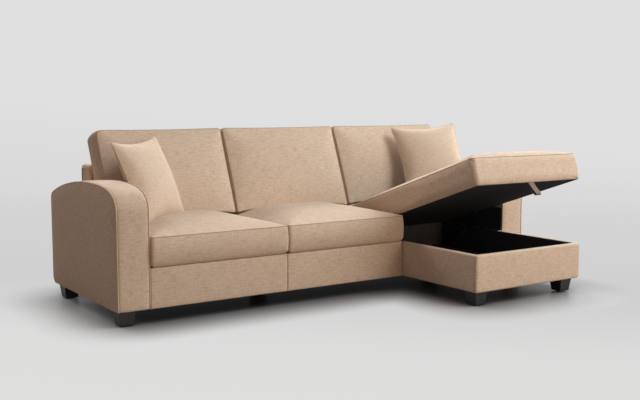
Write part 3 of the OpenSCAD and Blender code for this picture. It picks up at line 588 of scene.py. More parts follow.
def arm_band(side, left, right):
    """The padded band over an arm's front, top and back."""
    x0, x1 = left + 0.0045, right - 0.0045
    swell = sizes().band_swell
    rim, high = arm_outline(0.0), arm_outline(-swell)
    lengths = runs(rim)

    def place(u, v):
        across = abs(2 * v - 1)
        lift = 1 - across ** 3 - 0.0022 * across ** 16 / swell
        y, z = (a + (b - a) * lift for a, b in zip(rim[u], high[u]))
        return (x0 + (x1 - x0) * v, y, z)

    bm = sheet(range(len(rim)), [k / 12 for k in range(13)], place, lambda u, v: ((x1 - x0) * v, lengths[u]))
    face_out(bm, ((left + right) / 2, 0.3, 0.3))
    obj = finish_piece(f"{side}_arm_band", bm, f"{side}_arm_border")
    thicken(obj, 0.008)
    soften(obj)


def arm_sides(side, left, right):
    """The flat side panels of an arm, swelling a little between their edges."""
    inset, dip, inner_swell = 0.0015, 0.0022, 0.0015
    rim = arm_outline(inset, 24)
    depth0, depth1 = ARM_FRONT + inset, ARM_REAR - inset
    upper = [p for p in rim if p[1] > 0.49]
    floor_line = [(ARM_FRONT + 0.02 * k, FLOOR_GAP) for k in range(46)]
    outer = sizes().side_swell
    bm = bmesh.new()

    def near(points, y, z):
        return min(math.hypot(y - a, z - b) for a, b in points)

    def top(y):
        for a, b in zip(upper, upper[1:]):
            if a[0] <= y <= b[0] and b[0] > a[0]:
                return a[1] + (b[1] - a[1]) * (y - a[0]) / (b[0] - a[0])
        return upper[0][1] if y < upper[0][0] else upper[-1][1]

    def bottom(y):
        over = max(0.0, y - (ARM_REAR - ARM_CORNER))
        return FLOOR_GAP + 0.0008 + ARM_CORNER - math.sqrt(max(ARM_CORNER ** 2 - over ** 2, 0))

    us, vs = ([0.5 - 0.5 * math.cos(math.pi * k / n) for k in range(n + 1)] for n in (44, 28))
    for x, way in ((left, -1), (right, 1)):
        swell = outer if (way < 0) == (left < 0) else inner_swell

        def place(u, v):
            y = depth0 + (depth1 - depth0) * u
            z = bottom(y) + (top(y) - bottom(y)) * v
            lift = 1 - math.exp(-near(rim, y, z) / 0.038)
            lift *= swell * (1 - 0.75 * math.exp(-near(floor_line, y, z) / 0.03))
            return (x + way * (lift - dip), y, z)

        sheet(us, vs, place, lambda u, v: place(u, v)[1:], bm)
    middle = (left + right) / 2
    flip_wrong(bm, lambda face: face.normal.x * (face.calc_center_median().x - middle) < 0)
    obj = finish_piece(f"{side}_arm_side_panels", bm, f"{side}_arm_covers", slot="linen_fabric_sides")
    thicken(obj, 0.006)
    soften(obj)


def arm_piping(side, left, right):
    """The piping along both edges of an arm."""
    radius = 0.003
    path = arm_outline(radius * 0.8, 20)
    bm = bmesh.new()
    for x in (left + radius, right - radius):
        tube([(x, y, z) for y, z in path], radius, both=bm)
    recalc(bm)
    cord = linen("piping_linen", 1.03, 2.0, False)
    finish_piece(f"{side}_arm_cords", bm, f"{side}_arm_piping", material=cord)


class SOFA_OT_arms(bpy.types.Operator):
    """Bands, side panels and piping of both arms"""

    bl_idname = "sofa.arms"
    bl_label = "Arms"

    def execute(self, context):
        for side, ends in (("left", LEFT_ARM), ("right", RIGHT_ARM)):
            arm_band(side, *ends)
            arm_sides(side, *ends)
            arm_piping(side, *ends)
        return {"FINISHED"}


# Base, back and chaise


def fall(t, length, edge):
    """How far a soft edge falls away at t, in shares of its radius."""
    return 1 - math.sqrt(max(0.0, 1 - (1 - min(t, length - t, edge) / edge) ** 2))


def block(bm, low, high, taper=1.0):
    """A block between two corners, narrower at its lower end by the taper."""
    for vert in bmesh.ops.create_cube(bm, size=1.0)["verts"]:
        by = 1.0 if vert.co.z > 0 else taper
        shares = (vert.co.x * by, vert.co.y * by, vert.co.z)
        vert.co = [a + (b - a) * (share + 0.5) for a, b, share in zip(low, high, shares)]


def round_edges(bm, radius, segments):
    bmesh.ops.bevel(bm, geom=bm.edges[:], offset=radius, offset_type="OFFSET", segments=segments, profile=0.5,
                    affect="EDGES", material=-1)


def front_panel(bm, x0, x1):
    """A padded panel of the base front, with soft edges."""
    z0, edge, crown, sink = FLOOR_GAP + 0.0005, 0.005, 0.0025, 0.0045
    width, height = x1 - x0, BASE_TOP - z0

    def place(u, v):
        back = sink * min(1.0, math.hypot(fall(u, width, edge), fall(v, height, edge)))
        out = crown * (1 - (2 * u / width - 1) ** 6) * (1 - (2 * v / height - 1) ** 4)
        return (x0 + u, BASE_LOW.y + back - out, z0 + v)

    sheet(stops(width, edge, 24), stops(height, edge, 10), place, lambda u, v: (x0 + u, z0 + v), bm)


class SOFA_OT_base(bpy.types.Operator):
    """Padded front of the base under the seat cushions, in two panels with a seam between them"""

    bl_idname = "sofa.base"
    bl_label = "Base front"

    def execute(self, context):
        bm, gap = bmesh.new(), 0.0006
        for x0, x1 in ((SEAT_LEFT, SEAT_MIDDLE), (SEAT_MIDDLE, CHAISE_LEFT)):
            front_panel(bm, x0 + gap, x1 - gap)
        flip_wrong(bm, lambda face: face.normal.y > 0)
        thicken(finish_piece("base_front_fabric", bm, "base_front_cover"), 0.0045)
        return {"FINISHED"}


class SOFA_OT_shade_decking(bpy.types.Operator):
    """Black cloth on the parts of the arm and the rims that the closed lid hides"""
    # Black cloth on the right arm's inner face above the box and over both rims of the box, which the closed lid
    # hides: partly the box's black lining wrapped over its rims, partly a dark sheet that paints the shade in the gap
    # under the open lid

    bl_idname = "sofa.decking"
    bl_label = "Decking"

    def execute(self, context):
        bm = bmesh.new()
        front, rear, rim = ARM_FRONT + 0.012, 0.3745, (BASE_TOP - 0.003, BASE_TOP + 0.0004)
        for x0, x1, (z0, z1) in (
                (CHAISE_RIGHT - 0.0016, CHAISE_RIGHT + 0.0006, (BASE_TOP + 0.001, SEAT_TOP - 0.006)),
                (CHAISE_RIGHT - 0.0262, CHAISE_RIGHT - 0.0018, rim),
                (CHAISE_LEFT + 0.0018, CHAISE_LEFT + 0.0262, rim)):
            block(bm, (x0, front, z0), (x1, rear, z1))
        round_edges(bm, 0.0006, 2)
        recalc(bm)
        # Painted shade: the black felt stands where the gap under the open lid is in shade
        cloth = felt("black_felt", colours().lining)
        finish_piece("chaise_decking", bm, material=cloth, slot="black_lining", smooth=False)
        return {"FINISHED"}


class SOFA_OT_back(bpy.types.Operator):
    """Upholstered back with its rounded top and soft ends"""

    bl_idname = "sofa.back"
    bl_label = "Back"

    def execute(self, context):
        x0, x1, width = PAD_LOW.x, PAD_HIGH.x, PAD_HIGH.x - PAD_LOW.x
        front, rear, top, edge, turn = BACK_FRONT, BACK_REAR, BACK_TOP, BACK_EDGE, 0.018
        bends = [(edge * (1 - c), edge * (1 - s)) for c, s in arc(range(9), 8)]
        profile = [(front, BASE_TOP + 0.001)]
        profile += [(front, BASE_TOP + 0.03 * k) for k in range(1, 14)]
        profile += [(front + a, top - b) for a, b in bends]
        profile += [(front + edge + (rear - front - 2 * edge) * k / 5, top) for k in range(1, 5)]
        profile += [(rear - b, top - a) for a, b in bends]
        profile += [(rear, top - edge - 0.05 * k) for k in range(1, 12)]
        profile += [(rear, FLOOR_GAP + 0.004), (rear - 0.004, FLOOR_GAP + 0.0005)]
        lengths = runs(profile)

        def place(u, v):
            y, z = profile[v]
            roll = turn * fall(u, width, turn)
            return (x0 + u, max(front + roll, min(rear - roll, y)), min(z, top - roll))

        bm = sheet(stops(width, turn, 60, 6), range(len(profile)), place, lambda u, v: (u, lengths[v]))
        for side in (-1, 1):
            rim = [e for e in bm.edges if e.is_boundary and min(v.co.x * side for v in e.verts) > x1 - 1e-4]
            ends = [v for v in {v for e in rim for v in e.verts} if sum(e in rim for e in v.link_edges) == 1]
            cap = bmesh.ops.contextual_create(bm, geom=rim + [bm.edges.new(ends)])
            layer = bm.loops.layers.uv.verify()
            for face in cap["faces"]:
                for loop in face.loops:
                    loop[layer].uv = (loop.vert.co.y, loop.vert.co.z)
                for seam in face.edges:
                    seam.smooth = False
        bmesh.ops.contextual_create(bm, geom=[e for e in bm.edges if e.is_boundary])
        recalc(bm)
        finish_piece("back_upholstery", bm, "back_pad", "back_outer_cover")
        return {"FINISHED"}


class SOFA_OT_chaise_box(bpy.types.Operator):
    """Fabric that wraps the storage box over its rim, with the corner seams"""

    bl_idname = "sofa.chaise_box"
    bl_label = "Chaise box"

    def execute(self, context):
        xl, xr, yf, yr = CHAISE_LEFT, CHAISE_RIGHT, CHAISE_FRONT, CHAISE_REAR
        left, right = 0.012, 0.016

        def straight(a, b, parts, normal):
            return [(a[0] + (b[0] - a[0]) * k / parts, a[1] + (b[1] - a[1]) * k / parts, normal)
                    for k in range(parts + 1)]

        def corner(x, radius, normals):
            return [(x + radius * n[0], yf + radius + radius * n[1], n) for n in normals]

        turns = arc(range(1, 8), 8)
        stations = straight((xl, yr), (xl, yf + left), 33, (-1.0, 0.0))
        stations += corner(xl + left, left, [(-c, -s) for c, s in turns])
        stations += straight((xl + left, yf), (xr - right, yf), 30, (0.0, -1.0))
        stations += corner(xr - right, right, [(s, -c) for c, s in turns])
        stations += straight((xr, yf + right), (xr, yr), 33, (1.0, 0.0))
        # The cloth's section: how far it stands out, and its height, from inside the rim to under the box
        lip, inner, r, proud, top, low = 0.0255, 0.0225, 0.010, 0.003, BASE_TOP, FLOOR_GAP + 0.0004
        height = top - FLOOR_GAP - 2 * r
        bends = [(r * s, r * c) for c, s in arc(range(1, 7), 6)]
        profile = [(-lip, top - 0.010), (-lip, top - 0.005), (-lip + 0.001, top - 0.002), (-inner, top - 0.0004)]
        profile += [(-inner + (inner - r + proud) * k / 3, top) for k in range(1, 4)]
        profile += [(proud - r + a, top - r + b) for a, b in bends]
        profile += [(proud + 0.0015 * math.sin(math.pi * k / 10), top - r - height * k / 10) for k in range(1, 11)]
        profile += [(proud - r + b, low + r - a) for a, b in bends]
        profile += [(-0.014, low)]
        around, down = runs(stations), runs(profile)

        def place(u, v):
            x, y, n = stations[u]
            out, z = profile[v]
            if out > 0:
                out *= max(0.0, min(1.0, (ARM_FRONT - 0.012 - y) / 0.05))
            px, py = x + n[0] * out, y + n[1] * out
            if out < 0:
                px, py = min(max(px, xl - out), xr + out), max(py, yf - out)
            return (px, py, z)

        bm = sheet(range(len(stations)), range(len(profile)), place, lambda u, v: (around[u], -down[v]))
        join(bm)
        if min(bm.faces, key=lambda f: f.calc_center_median().y).normal.y > 0:
            bmesh.ops.reverse_faces(bm, faces=bm.faces)
        thicken(finish_piece("chaise_box_fabric", bm, "chaise_front_cover", "chaise_side_covers"), 0.0015)
        seams = bmesh.new()
        for end, way, radius, degrees in ((xl, 1, left, 22), (xr, -1, right, 50)):
            turn, reach = math.radians(degrees), radius + proud - 0.0002
            x, y = end + way * (radius - reach * math.cos(turn)), yf + radius - reach * math.sin(turn)
            tube([(x, y, FLOOR_GAP + r + height * k / 8) for k in range(9)], 0.0019, both=seams)
        recalc(seams)
        # Painted shadow: the corner seams' cord is the linen at 45 %, dark like the shade in their creases
        finish_piece("chaise_corner_seams", seams, material=linen("seam_linen", 0.45, 2.0, False))
        return {"FINISHED"}


# Cushions


def cushion(name, body, replaces, half, wall, limits, place, **given):
    """A cushion's plan: half its length and depth, its wall's height, and what most cushions share."""
    shared = {
        # The welts' cord is the linen at 72 %: painted shade along the seams
        "cell": sizes().cell, "welt": sizes().welt, "cord": ("welt_linen", 0.72), "fabric": ("woven_linen",),
        "slot": "linen_fabric", "flat_base": True, "power": 0.36, "start": 1.0, "rear_crown": 0.0, "rear_power": 1.0,
        "roll": 0.0, "bulge": 0.0, "soft_top": 0.0, "shoulders": (0.0, 0.0), "slack": (0.0, 0.0), "flare": 0.0,
        "lift": 0.0, "recess": None, "shrink": 0.0, "reach": 0.024, "free": (0.0, 0.0, 1.0)}
    return SimpleNamespace(name=name, body=body, replaces=replaces, half=half, wall=wall, limits=limits, place=place,
                           **(shared | given))


def crown_share(u, v, power):
    return max(0.0, (1 - u * u) * (1 - v * v)) ** power


def mesh_lines(low, high, edges, cell):
    """Places of the mesh lines between two ends, closer together within the soft edge at each end."""
    fine = 4
    start = [low + edges[0] * k / fine for k in range(fine)] if edges[0] else []
    end = [high - edges[1] * k / fine for k in reversed(range(fine))] if edges[1] else []
    low, high = low + edges[0], high - edges[1]
    count = max(1, round((high - low) / cell))
    return start + [low + (high - low) * k / count for k in range(count + 1)] + end


def rounded(x, y, z, half, corners, roll):
    """Moves a point of a box onto the same box with round upright corners and a round lower edge."""
    corner = corners[(x > 0) + 2 * (y > 0)]
    a = max(0.0, abs(x) - half[0] + corner) / corner
    b = max(0.0, abs(y) - half[1] + corner) / corner
    c = max(0.0, -z - half[2] + roll) / roll if roll else 0.0
    na, nb, nc = (t * math.sqrt(1 - p * p / 2 - q * q / 2 + p * p * q * q / 3)
                  for t, p, q in ((a, b, c), (b, a, c), (c, a, b)))
    if a:
        x = math.copysign(half[0] - corner + corner * na, x)
    if b:
        y = math.copysign(half[1] - corner + corner * nb, y)
    if c:
        z = -half[2] + roll - roll * nc
    return x, y, z, na, nb


def flat_cushion(plan):
    """A boxed cushion lying flat about the origin, with round corners, swelling walls and a crowned top."""
    (hx, hy), wall, roll = plan.half, plan.wall, plan.roll
    corner, full = max(plan.corners), 0.9999
    lines = [mesh_lines(-h, h, (corner, corner), plan.cell) for h in plan.half]
    lines.append(mesh_lines(-wall / 2, wall / 2, (roll, plan.soft_top), plan.cell) if wall > THIN_WALL
                 else [-wall / 2, wall / 2])
    bm = bmesh.new()
    bmesh.ops.create_cube(bm, size=2.0)
    for axis, places in enumerate(lines):
        if len(places) > 2:
            along = [e for e in bm.edges if abs(e.verts[0].co[axis] - e.verts[1].co[axis]) > 1e-6]
            bmesh.ops.subdivide_edges(bm, edges=along, cuts=len(places) - 2, use_grid_fill=True)
    flat, rings = {}, ([], [])
    side_draw, far_draw, near_draw = plan.draw
    beside, below = plan.slack
    for vert in bm.verts:
        x, y, z = (places[round((vert.co[k] + 1) / 2 * (len(places) - 1))] for k, places in enumerate(lines))
        flat[vert] = (x, y, z)
        u, v, w = x / hx, y / hy, 2 * z / wall
        rim = max(abs(u), abs(v)) > full
        if rim and abs(w) > full:
            rings[w < 0].append(vert)
        px, py, pz, nx, ny = rounded(x, y, z, (hx, hy, wall / 2), plan.corners, roll)
        if u > 0:
            px += plan.flare * u ** 12 * (w + 1) / 2
        if rim:
            out = plan.bulge * max(0.0, 1 - w * w) ** 0.7
            px += math.copysign(out * nx, x)
            py += math.copysign(out * ny, y)
        if w > full:
            fill = (1 - beside * math.exp(-(1 + u) / 0.13)) * (1 - below * math.exp(-(1 + v) / 0.2))
            pz += plan.crown * plan.start * fill * crown_share(u, v, plan.power)
            pz += plan.lift * (1 - u ** 6) * math.exp(-((v + 0.88) / 0.14) ** 2) * min(1.0, (v + 1) / 0.05)
        elif w < -full:
            pz -= plan.rear_crown * plan.start * crown_share(u, v, plan.rear_power)
        px -= math.copysign(plan.shoulders[u > 0] * abs(u) ** 10 * max(0.0, w) ** 2, u)
        px *= 1 - side_draw / hx * (1 - v * v)
        py *= 1 - (far_draw if v > 0 else near_draw) / hy * (1 - u * u)
        vert.co = (px, py, pz)
    layer = bm.loops.layers.uv.verify()
    for face in bm.faces:
        spans = [[flat[v][k] for v in face.verts] for k in range(3)]
        axis = min(range(3), key=lambda k: max(spans[k]) - min(spans[k]))
        for loop in face.loops:
            loop[layer].uv = [flat[loop.vert][k] for k in range(3) if k != axis]
    crease = bm.edges.layers.float.new("crease_edge")
    bm.verts.index_update()
    for ring in rings[:1] if roll else rings:
        held = set(ring)
        for edge in bm.edges:
            if held.issuperset(edge.verts):
                edge[crease] = SEAM_CREASE
    plan.rings = [[v.index for v in sorted(ring, key=lambda v: math.atan2(flat[v][1] / hy, flat[v][0] / hx))]
                  for ring in rings]
    plan.base = [v.index for v in bm.verts if flat[v][2] < -wall / 2 + 1e-6] if plan.flat_base else plan.rings[1]
    return add_mesh(plan.name, bm)


def swell(made):
    """Lets the cushions' cloth fill out under pressure, held at its seams."""
    scene, frames = bpy.context.scene, sizes().swell_frames
    for obj, plan in made:
        pins = obj.vertex_groups.new(name="seams")
        pins.add(plan.rings[0] + plan.base, SEAM_HOLD, "REPLACE")
        cloth = obj.modifiers.new("cloth", "CLOTH")
        for key, value in CLOTH.items():
            setattr(cloth.settings, key, value)
        cloth.settings.shrink_min = plan.shrink
        cloth.settings.effector_weights.gravity = 0
        cloth.collision_settings.use_collision = cloth.collision_settings.use_self_collision = False
        cloth.point_cache.frame_start, cloth.point_cache.frame_end = 1, frames
    for now in range(1, frames + 1):
        scene.frame_set(now)
    graph = bpy.context.evaluated_depsgraph_get()
    for obj, plan in made:
        swollen = [v.co.copy() for v in obj.evaluated_get(graph).data.vertices]
        obj.modifiers.remove(obj.modifiers["cloth"])
        obj.vertex_groups.clear()
        for vert, new in zip(obj.data.vertices, swollen):
            step = new - vert.co
            if step.length > plan.reach:
                step *= plan.reach / step.length
            vert.co = vert.co + step
    scene.frame_set(1)


def press(obj, plan):
    """Gives a flat cushion its slightly uneven fill and keeps it inside the planes of what it lies against."""
    seed = Vector((0.37 * len(plan.name), 1.7 * plan.half[0], 2.3 * plan.wall)) * 10
    low, high = plan.limits
    more, near_end, far_end = plan.free
    for vert in obj.data.vertices:
        x, y, z = vert.co
        if z > plan.wall / 2:
            inner = crown_share(x / plan.half[0], y / plan.half[1], 0.5)
            z += UNEVEN * inner * noise_at(vert.co * 11 + seed)
        room = more * min(1.0, max(0.0, (y - near_end) / (far_end - near_end)))
        vert.co = (min(max(x, low[0] - room), high[0] + room), min(max(y, low[1]), high[1]),
                   min(max(z, low[2]), high[2]))


def hollow(mesh, plan):
    """Raises a cushion's flat base inside a rim, so that it lies over its board."""
    rim, depth = plan.recess
    bm = bmesh.new()
    bm.from_mesh(mesh)
    under = [f for f in bm.faces if all(v.co.z < -plan.wall / 2 + 1e-5 for v in f.verts)]
    bmesh.ops.inset_region(bm, faces=under, thickness=rim, depth=0.0, use_even_offset=True, use_boundary=True)
    walls = bmesh.ops.extrude_face_region(bm, geom=under)
    for vert in {v for v in walls["geom"] if isinstance(v, bmesh.types.BMVert)}:
        vert.co.z += depth
    bmesh.ops.delete(bm, geom=under, context="FACES")
    recalc(bm)
    bm.to_mesh(mesh)
    bm.free()


def make_cushions(plans):
    """Builds a group of cushions, swells them together and lays them in place."""
    made = [(flat_cushion(plan), plan) for plan in plans]
    swell(made)
    for obj, plan in made:
        press(obj, plan)
        mesh = obj.data
        if plan.recess:
            hollow(mesh, plan)
        for vert in mesh.vertices:
            vert.co = plan.place(vert.co)
        mesh.update()
        mesh.materials.append(linen(*plan.fabric))
        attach(obj, plan.body)
        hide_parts(plan.replaces)
        bm = tube([mesh.vertices[i].co for i in plan.rings[0]], plan.welt, True)
        recalc(bm)
        cord = linen(*plan.cord, 2.0, False)
        finish_piece(plan.name + "_welts", bm, material=cord, body=plan.body, slot=plan.slot)
        soften(obj)


def boxed(name, body, solid, ahead, free_top, **given):
    """A cushion in a solid's place, which may stand out ahead of it and, with a free top, above it."""
    low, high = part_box(solid)
    wall, crown = SEAT_TOP - low.z, high.z - SEAT_TOP
    hx, hy = (high.x - low.x) / 2, (high.y - low.y) / 2
    middle = Vector(((low.x + high.x) / 2, (low.y + high.y) / 2, (low.z + SEAT_TOP) / 2))
    limits = ((-hx, -hy - ahead, -wall / 2), (hx, hy, 1.0 if free_top else wall / 2 + crown))
    return cushion(name, body, solid, (hx - 0.003, hy - 0.003), wall, limits, lambda co: co + middle,
                   crown=crown, draw=(0.002, 0.002, 0.002), **given)


class SOFA_OT_seat_cushions(bpy.types.Operator):
    """The two loose seat cushions with their welts"""

    bl_idname = "sofa.seat_cushions"
    bl_label = "Seat cushions"

    def execute(self, context):
        make_cushions([
            boxed(f"seat_pad_{side}", f"seat_cushion_{side}", f"seat_cushion_{side}", 0.008, True, fill=0.85,
                  start=0.85, corners=(0.013, 0.015, 0.022, 0.022), roll=0.022, bulge=0.009, soft_top=0.014)
            for side in ("left", "right")])
        return {"FINISHED"}


def lid_turn(co, angle=LID_OPEN):
    """Turns a point of the lid about its hinge, by default from closed up to where the open lid stands."""
    y, z = co.y - HINGE_Y, co.z - HINGE_Z
    c, s = math.cos(-angle), math.sin(-angle)
    return Vector((co.x, HINGE_Y + y * c - z * s, HINGE_Z + y * s + z * c))


def settle(x):
    """How far a back cushion's foot sinks where the seats under it fall away towards their sides."""
    seat = min(((SEAT_LEFT, SEAT_MIDDLE), (SEAT_MIDDLE, CHAISE_LEFT), (CHAISE_LEFT, CHAISE_RIGHT)),
               key=lambda ends: abs(x - (ends[0] + ends[1]) / 2))
    u = min(1.0, abs(2 * x - seat[0] - seat[1]) / (seat[1] - seat[0]))
    return 0.0285 * max(0.0, 1 - 1.1 * (1 - u * u) ** 0.36)


class SOFA_OT_back_cushions(bpy.types.Operator):
    """The three loose back cushions that lean on the back"""

    bl_idname = "sofa.back_cushions"
    bl_label = "Back cushions"

    def execute(self, context):
        height, thick, seat_crown, gap = 0.464, 0.130, 0.030, 0.0006
        tan, sin, cos = math.tan(BACK_LEAN), math.sin(BACK_LEAN), math.cos(BACK_LEAN)
        run = BACK_EDGE + gap + (BACK_TOP - BACK_EDGE - SEAT_TOP - seat_crown) * sin
        foot_y = BACK_FRONT + BACK_EDGE - (run + thick / 2) / cos
        foot_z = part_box("back_cushion_left")[0].z
        border = CHAISE_LEFT + 0.012
        plans = []
        # Ends, spread of the top, upper left corner, draw of the shoulders and slack at the left
        for name, x0, x1, spreading, corner, shoulders, slack in (
                ("left", SEAT_LEFT + gap, SEAT_MIDDLE - gap / 2, 0.0, 0.034, (0.010, 0.001), 0.55),
                ("centre", SEAT_MIDDLE + gap / 2, border - gap / 2, 0.0, 0.018, (0.001, 0.001), 0.2),
                ("right", border + gap / 2, CHAISE_RIGHT - gap, 0.034, 0.018, (0.001, 0.001), 0.2)):
            hx, hy = (x1 - x0) / 2, height / 2

            def place(co, middle=(x0 + x1) / 2, hx=hx, hy=hy, spreading=spreading):
                x = co.x + spreading * (co.x / hx + 1) / 2 * max(0.0, co.y / hy)
                s, t = co.y + height / 2, co.z
                up = s - t * tan * (1 - s / height)
                where = Vector((middle + x, foot_y + up * sin - t * cos, foot_z + up * cos + t * sin))
                where.z -= settle(where.x) * math.exp(-max(0.0, s) / 0.07)
                return where

            limits = ((-hx - 0.0001, -hy, -thick / 2), (hx + 0.0001, hy + 0.006, 1.0))
            solid = f"back_cushion_{name}"
            # Painted shade: the back cushions wear a copy of the linen 4 % darker than the other pieces
            plans.append(cushion(
                f"back_pad_{name}", solid, solid, (hx - 0.0065, hy - 0.005), thick, limits, place, fill=0.75,
                crown=0.030, draw=(0.003, 0.004, 0.0), start=0.8, corners=(0.012, 0.012, corner, 0.018), roll=0.03,
                bulge=0.011, soft_top=0.02, shoulders=shoulders, slack=(slack, 0.75), fabric=("back_linen", 0.96),
                welt=0.0016))
        make_cushions(plans)
        return {"FINISHED"}


def beside_arm(place):
    """Keeps the part of a throw cushion that comes down beside the right arm, as the lid closes, clear of it."""
    if lid_turn(place, -LID_OPEN).z < ARM_TOP + 0.008:
        place.x = min(place.x, CHAISE_RIGHT - 0.004)
    return place


class SOFA_OT_throw_cushions(bpy.types.Operator):
    """The two loose throw cushions with knife edges"""

    bl_idname = "sofa.throw_cushions"
    bl_label = "Throw cushions"

    def execute(self, context):
        side, edge, crown = 0.438, 0.004, 0.072
        plans = []
        # Place, turns about the upright, the crosswise and the cushion's own axis, height and rear power
        for name, at, (swing, tip, spin), height, rear_power in (
                ("left", (-0.939, 0.30535, 0.6384), (36.0, 68.3, 2.0), side, 0.6),
                ("right", (0.945, 0.29695, 0.6847), (-18.0, 60.0, 3.5), 0.466, 0.78)):
            where = Matrix.Translation(at)
            for degrees, axis in ((swing, "Z"), (tip, "X"), (spin, "Z")):
                where = where @ Matrix.Rotation(math.radians(degrees), 4, axis)
            hx, hy, solid = side / 2, height / 2, f"throw_cushion_{name}"
            limits = ((-hx, -hy, -crown - edge / 2), (hx, hy, crown + edge / 2 + 0.01))
            plans.append(cushion(
                f"throw_pad_{name}", solid, solid, (hx, hy), edge, limits,
                lambda co, where=where: beside_arm(where @ co), fill=0.7, slot="throw_fabric", flat_base=False,
                crown=crown + 0.006, rear_crown=crown, draw=(0.020, 0.027, 0.014), power=0.56, rear_power=rear_power,
                start=0.96, cell=0.0105, corners=(0.02,) * 4, fabric=("throw_linen", 1.0, 4.0), welt=0.0021,
                cord=("edge_linen", 1.04), shrink=-0.006, reach=0.02))
        make_cushions(plans)
        return {"FINISHED"}


class SOFA_OT_lid(bpy.types.Operator):
    """The upholstered seat of the chaise, which is the lid of the storage box, and the block behind it"""

    bl_idname = "sofa.lid"
    bl_label = "Lid and rear block"

    def execute(self, context):
        gap, overhang, bottom = 0.003, 0.014, BASE_TOP + 0.0006
        x0, x1 = CHAISE_LEFT + gap, CHAISE_RIGHT - gap
        y0, y1 = CHAISE_FRONT - overhang, HINGE_Y - 0.00375
        wall, hx, hy = SEAT_TOP - bottom, (x1 - x0) / 2, (y1 - y0) / 2
        middle = Vector(((x0 + x1) / 2, (y0 + y1) / 2, bottom + wall / 2))
        limits = ((-hx - 0.001, -hy - 0.006, -wall / 2), (hx + 0.001, hy, 1.0))
        lid = cushion(
            "lid_upholstery", "lid", "lid_cushion", (hx - 0.003, hy - 0.002), wall, limits,
            lambda co: lid_turn(co + middle), fill=0.85, crown=0.032, draw=(0.001, 0.001, 0.001), power=0.27,
            lift=0.016, corners=(0.018, 0.020, 0.02, 0.02), roll=0.007, bulge=0.010, soft_top=0.014,
            recess=(0.008, 0.0205), flare=0.007,
            free=(0.007, ARM_FRONT - 0.05 - middle.y, ARM_FRONT - 0.2 - middle.y))
        rear = boxed("rear_block_upholstery", "sofa_frame", "rear_seat_block", 0.0, False, fill=0.9, start=0.9,
                     corners=(0.015,) * 4, roll=0.006, bulge=0.003, soft_top=0.012)
        make_cushions([lid, rear])
        return {"FINISHED"}


# Pull tab, feet and fittings


class SOFA_OT_pull_tab(bpy.types.Operator):
    """The webbing loop at the middle of the lid's front edge"""

    bl_idname = "sofa.pull_tab"
    bl_label = "Pull tab"

    def execute(self, context):
        low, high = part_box("pull_tab")
        width, thick, length, outer, tip = high.x - low.x, 0.003, 0.084, 0.008, 0.016
        droop = math.radians(47)
        root = Vector((low.x, -0.7161, 0.6149))
        along = Vector((0, -math.cos(droop), -math.sin(droop)))
        across = Vector((0, math.sin(droop), -math.cos(droop)))
        radius, start = outer - thick / 2, outer + 0.0004
        straight = length - outer - start
        narrow = [0.35 + 0.65 * s for _, s in arc(range(13), 12)]

        def bend(end, way, height):
            return [(end + way * radius * s, way * height * c) for c, s in arc(range(1, 12), 6)]

        upper = [(start + straight * k / 12, radius * share) for k, share in enumerate(narrow)]
        path = upper + bend(start + straight, 1, radius) + [(s, -t) for s, t in reversed(upper)]
        path += bend(start, -1, radius * narrow[0]) + upper[:1]
        lengths = runs(path)

        def place(u, v):
            s, t = path[u]
            sag = 0.004 * math.sin(math.pi * s / length)
            near_tip = max(0.0, (s - length + tip) / tip)
            x = width / 2 + width * (v - 0.5) * (1 - 0.3 * near_tip ** 3)
            return root + along * s + across * (t + sag) + Vector((x, 0, 0))

        bm = sheet(range(len(path)), [0, 0.03, 0.08, 0.2, 0.4, 0.6, 0.8, 0.92, 0.97, 1], place,
                   lambda u, v: (width * v, lengths[u]))
        join(bm)
        weave = webbing("strap_weave", tuple(0.36 * c for c in colours().linen))
        obj = finish_piece("pull_tab_webbing", bm, "pull_tab", material=weave, body="pull_tab", slot="tab_webbing")
        thicken(obj, thick, 0.0)
        modify(obj, "soften", "BEVEL", width=0.0008, segments=2, limit_method="ANGLE")
        return {"FINISHED"}


class SOFA_OT_feet(bpy.types.Operator):
    """The seven tapered feet"""

    bl_idname = "sofa.feet"
    bl_label = "Feet"

    def execute(self, context):
        for place in ("front_left", "rear_left", "chaise_left", "chaise_right", "front_right", "rear_right", "centre"):
            bm = bmesh.new()
            block(bm, *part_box("foot_" + place), FOOT_TAPER)
            round_edges(bm, 0.0028, 3)
            stain = wood("stained_foot", colours().foot, (30, 30, 260), 0.5, 0.6)
            obj = finish_piece("foot_block_" + place, bm, "foot_" + place, material=stain, slot="foot_wood")
            modify(obj, "normals", "WEIGHTED_NORMAL", keep_sharp=True)
        return {"FINISHED"}


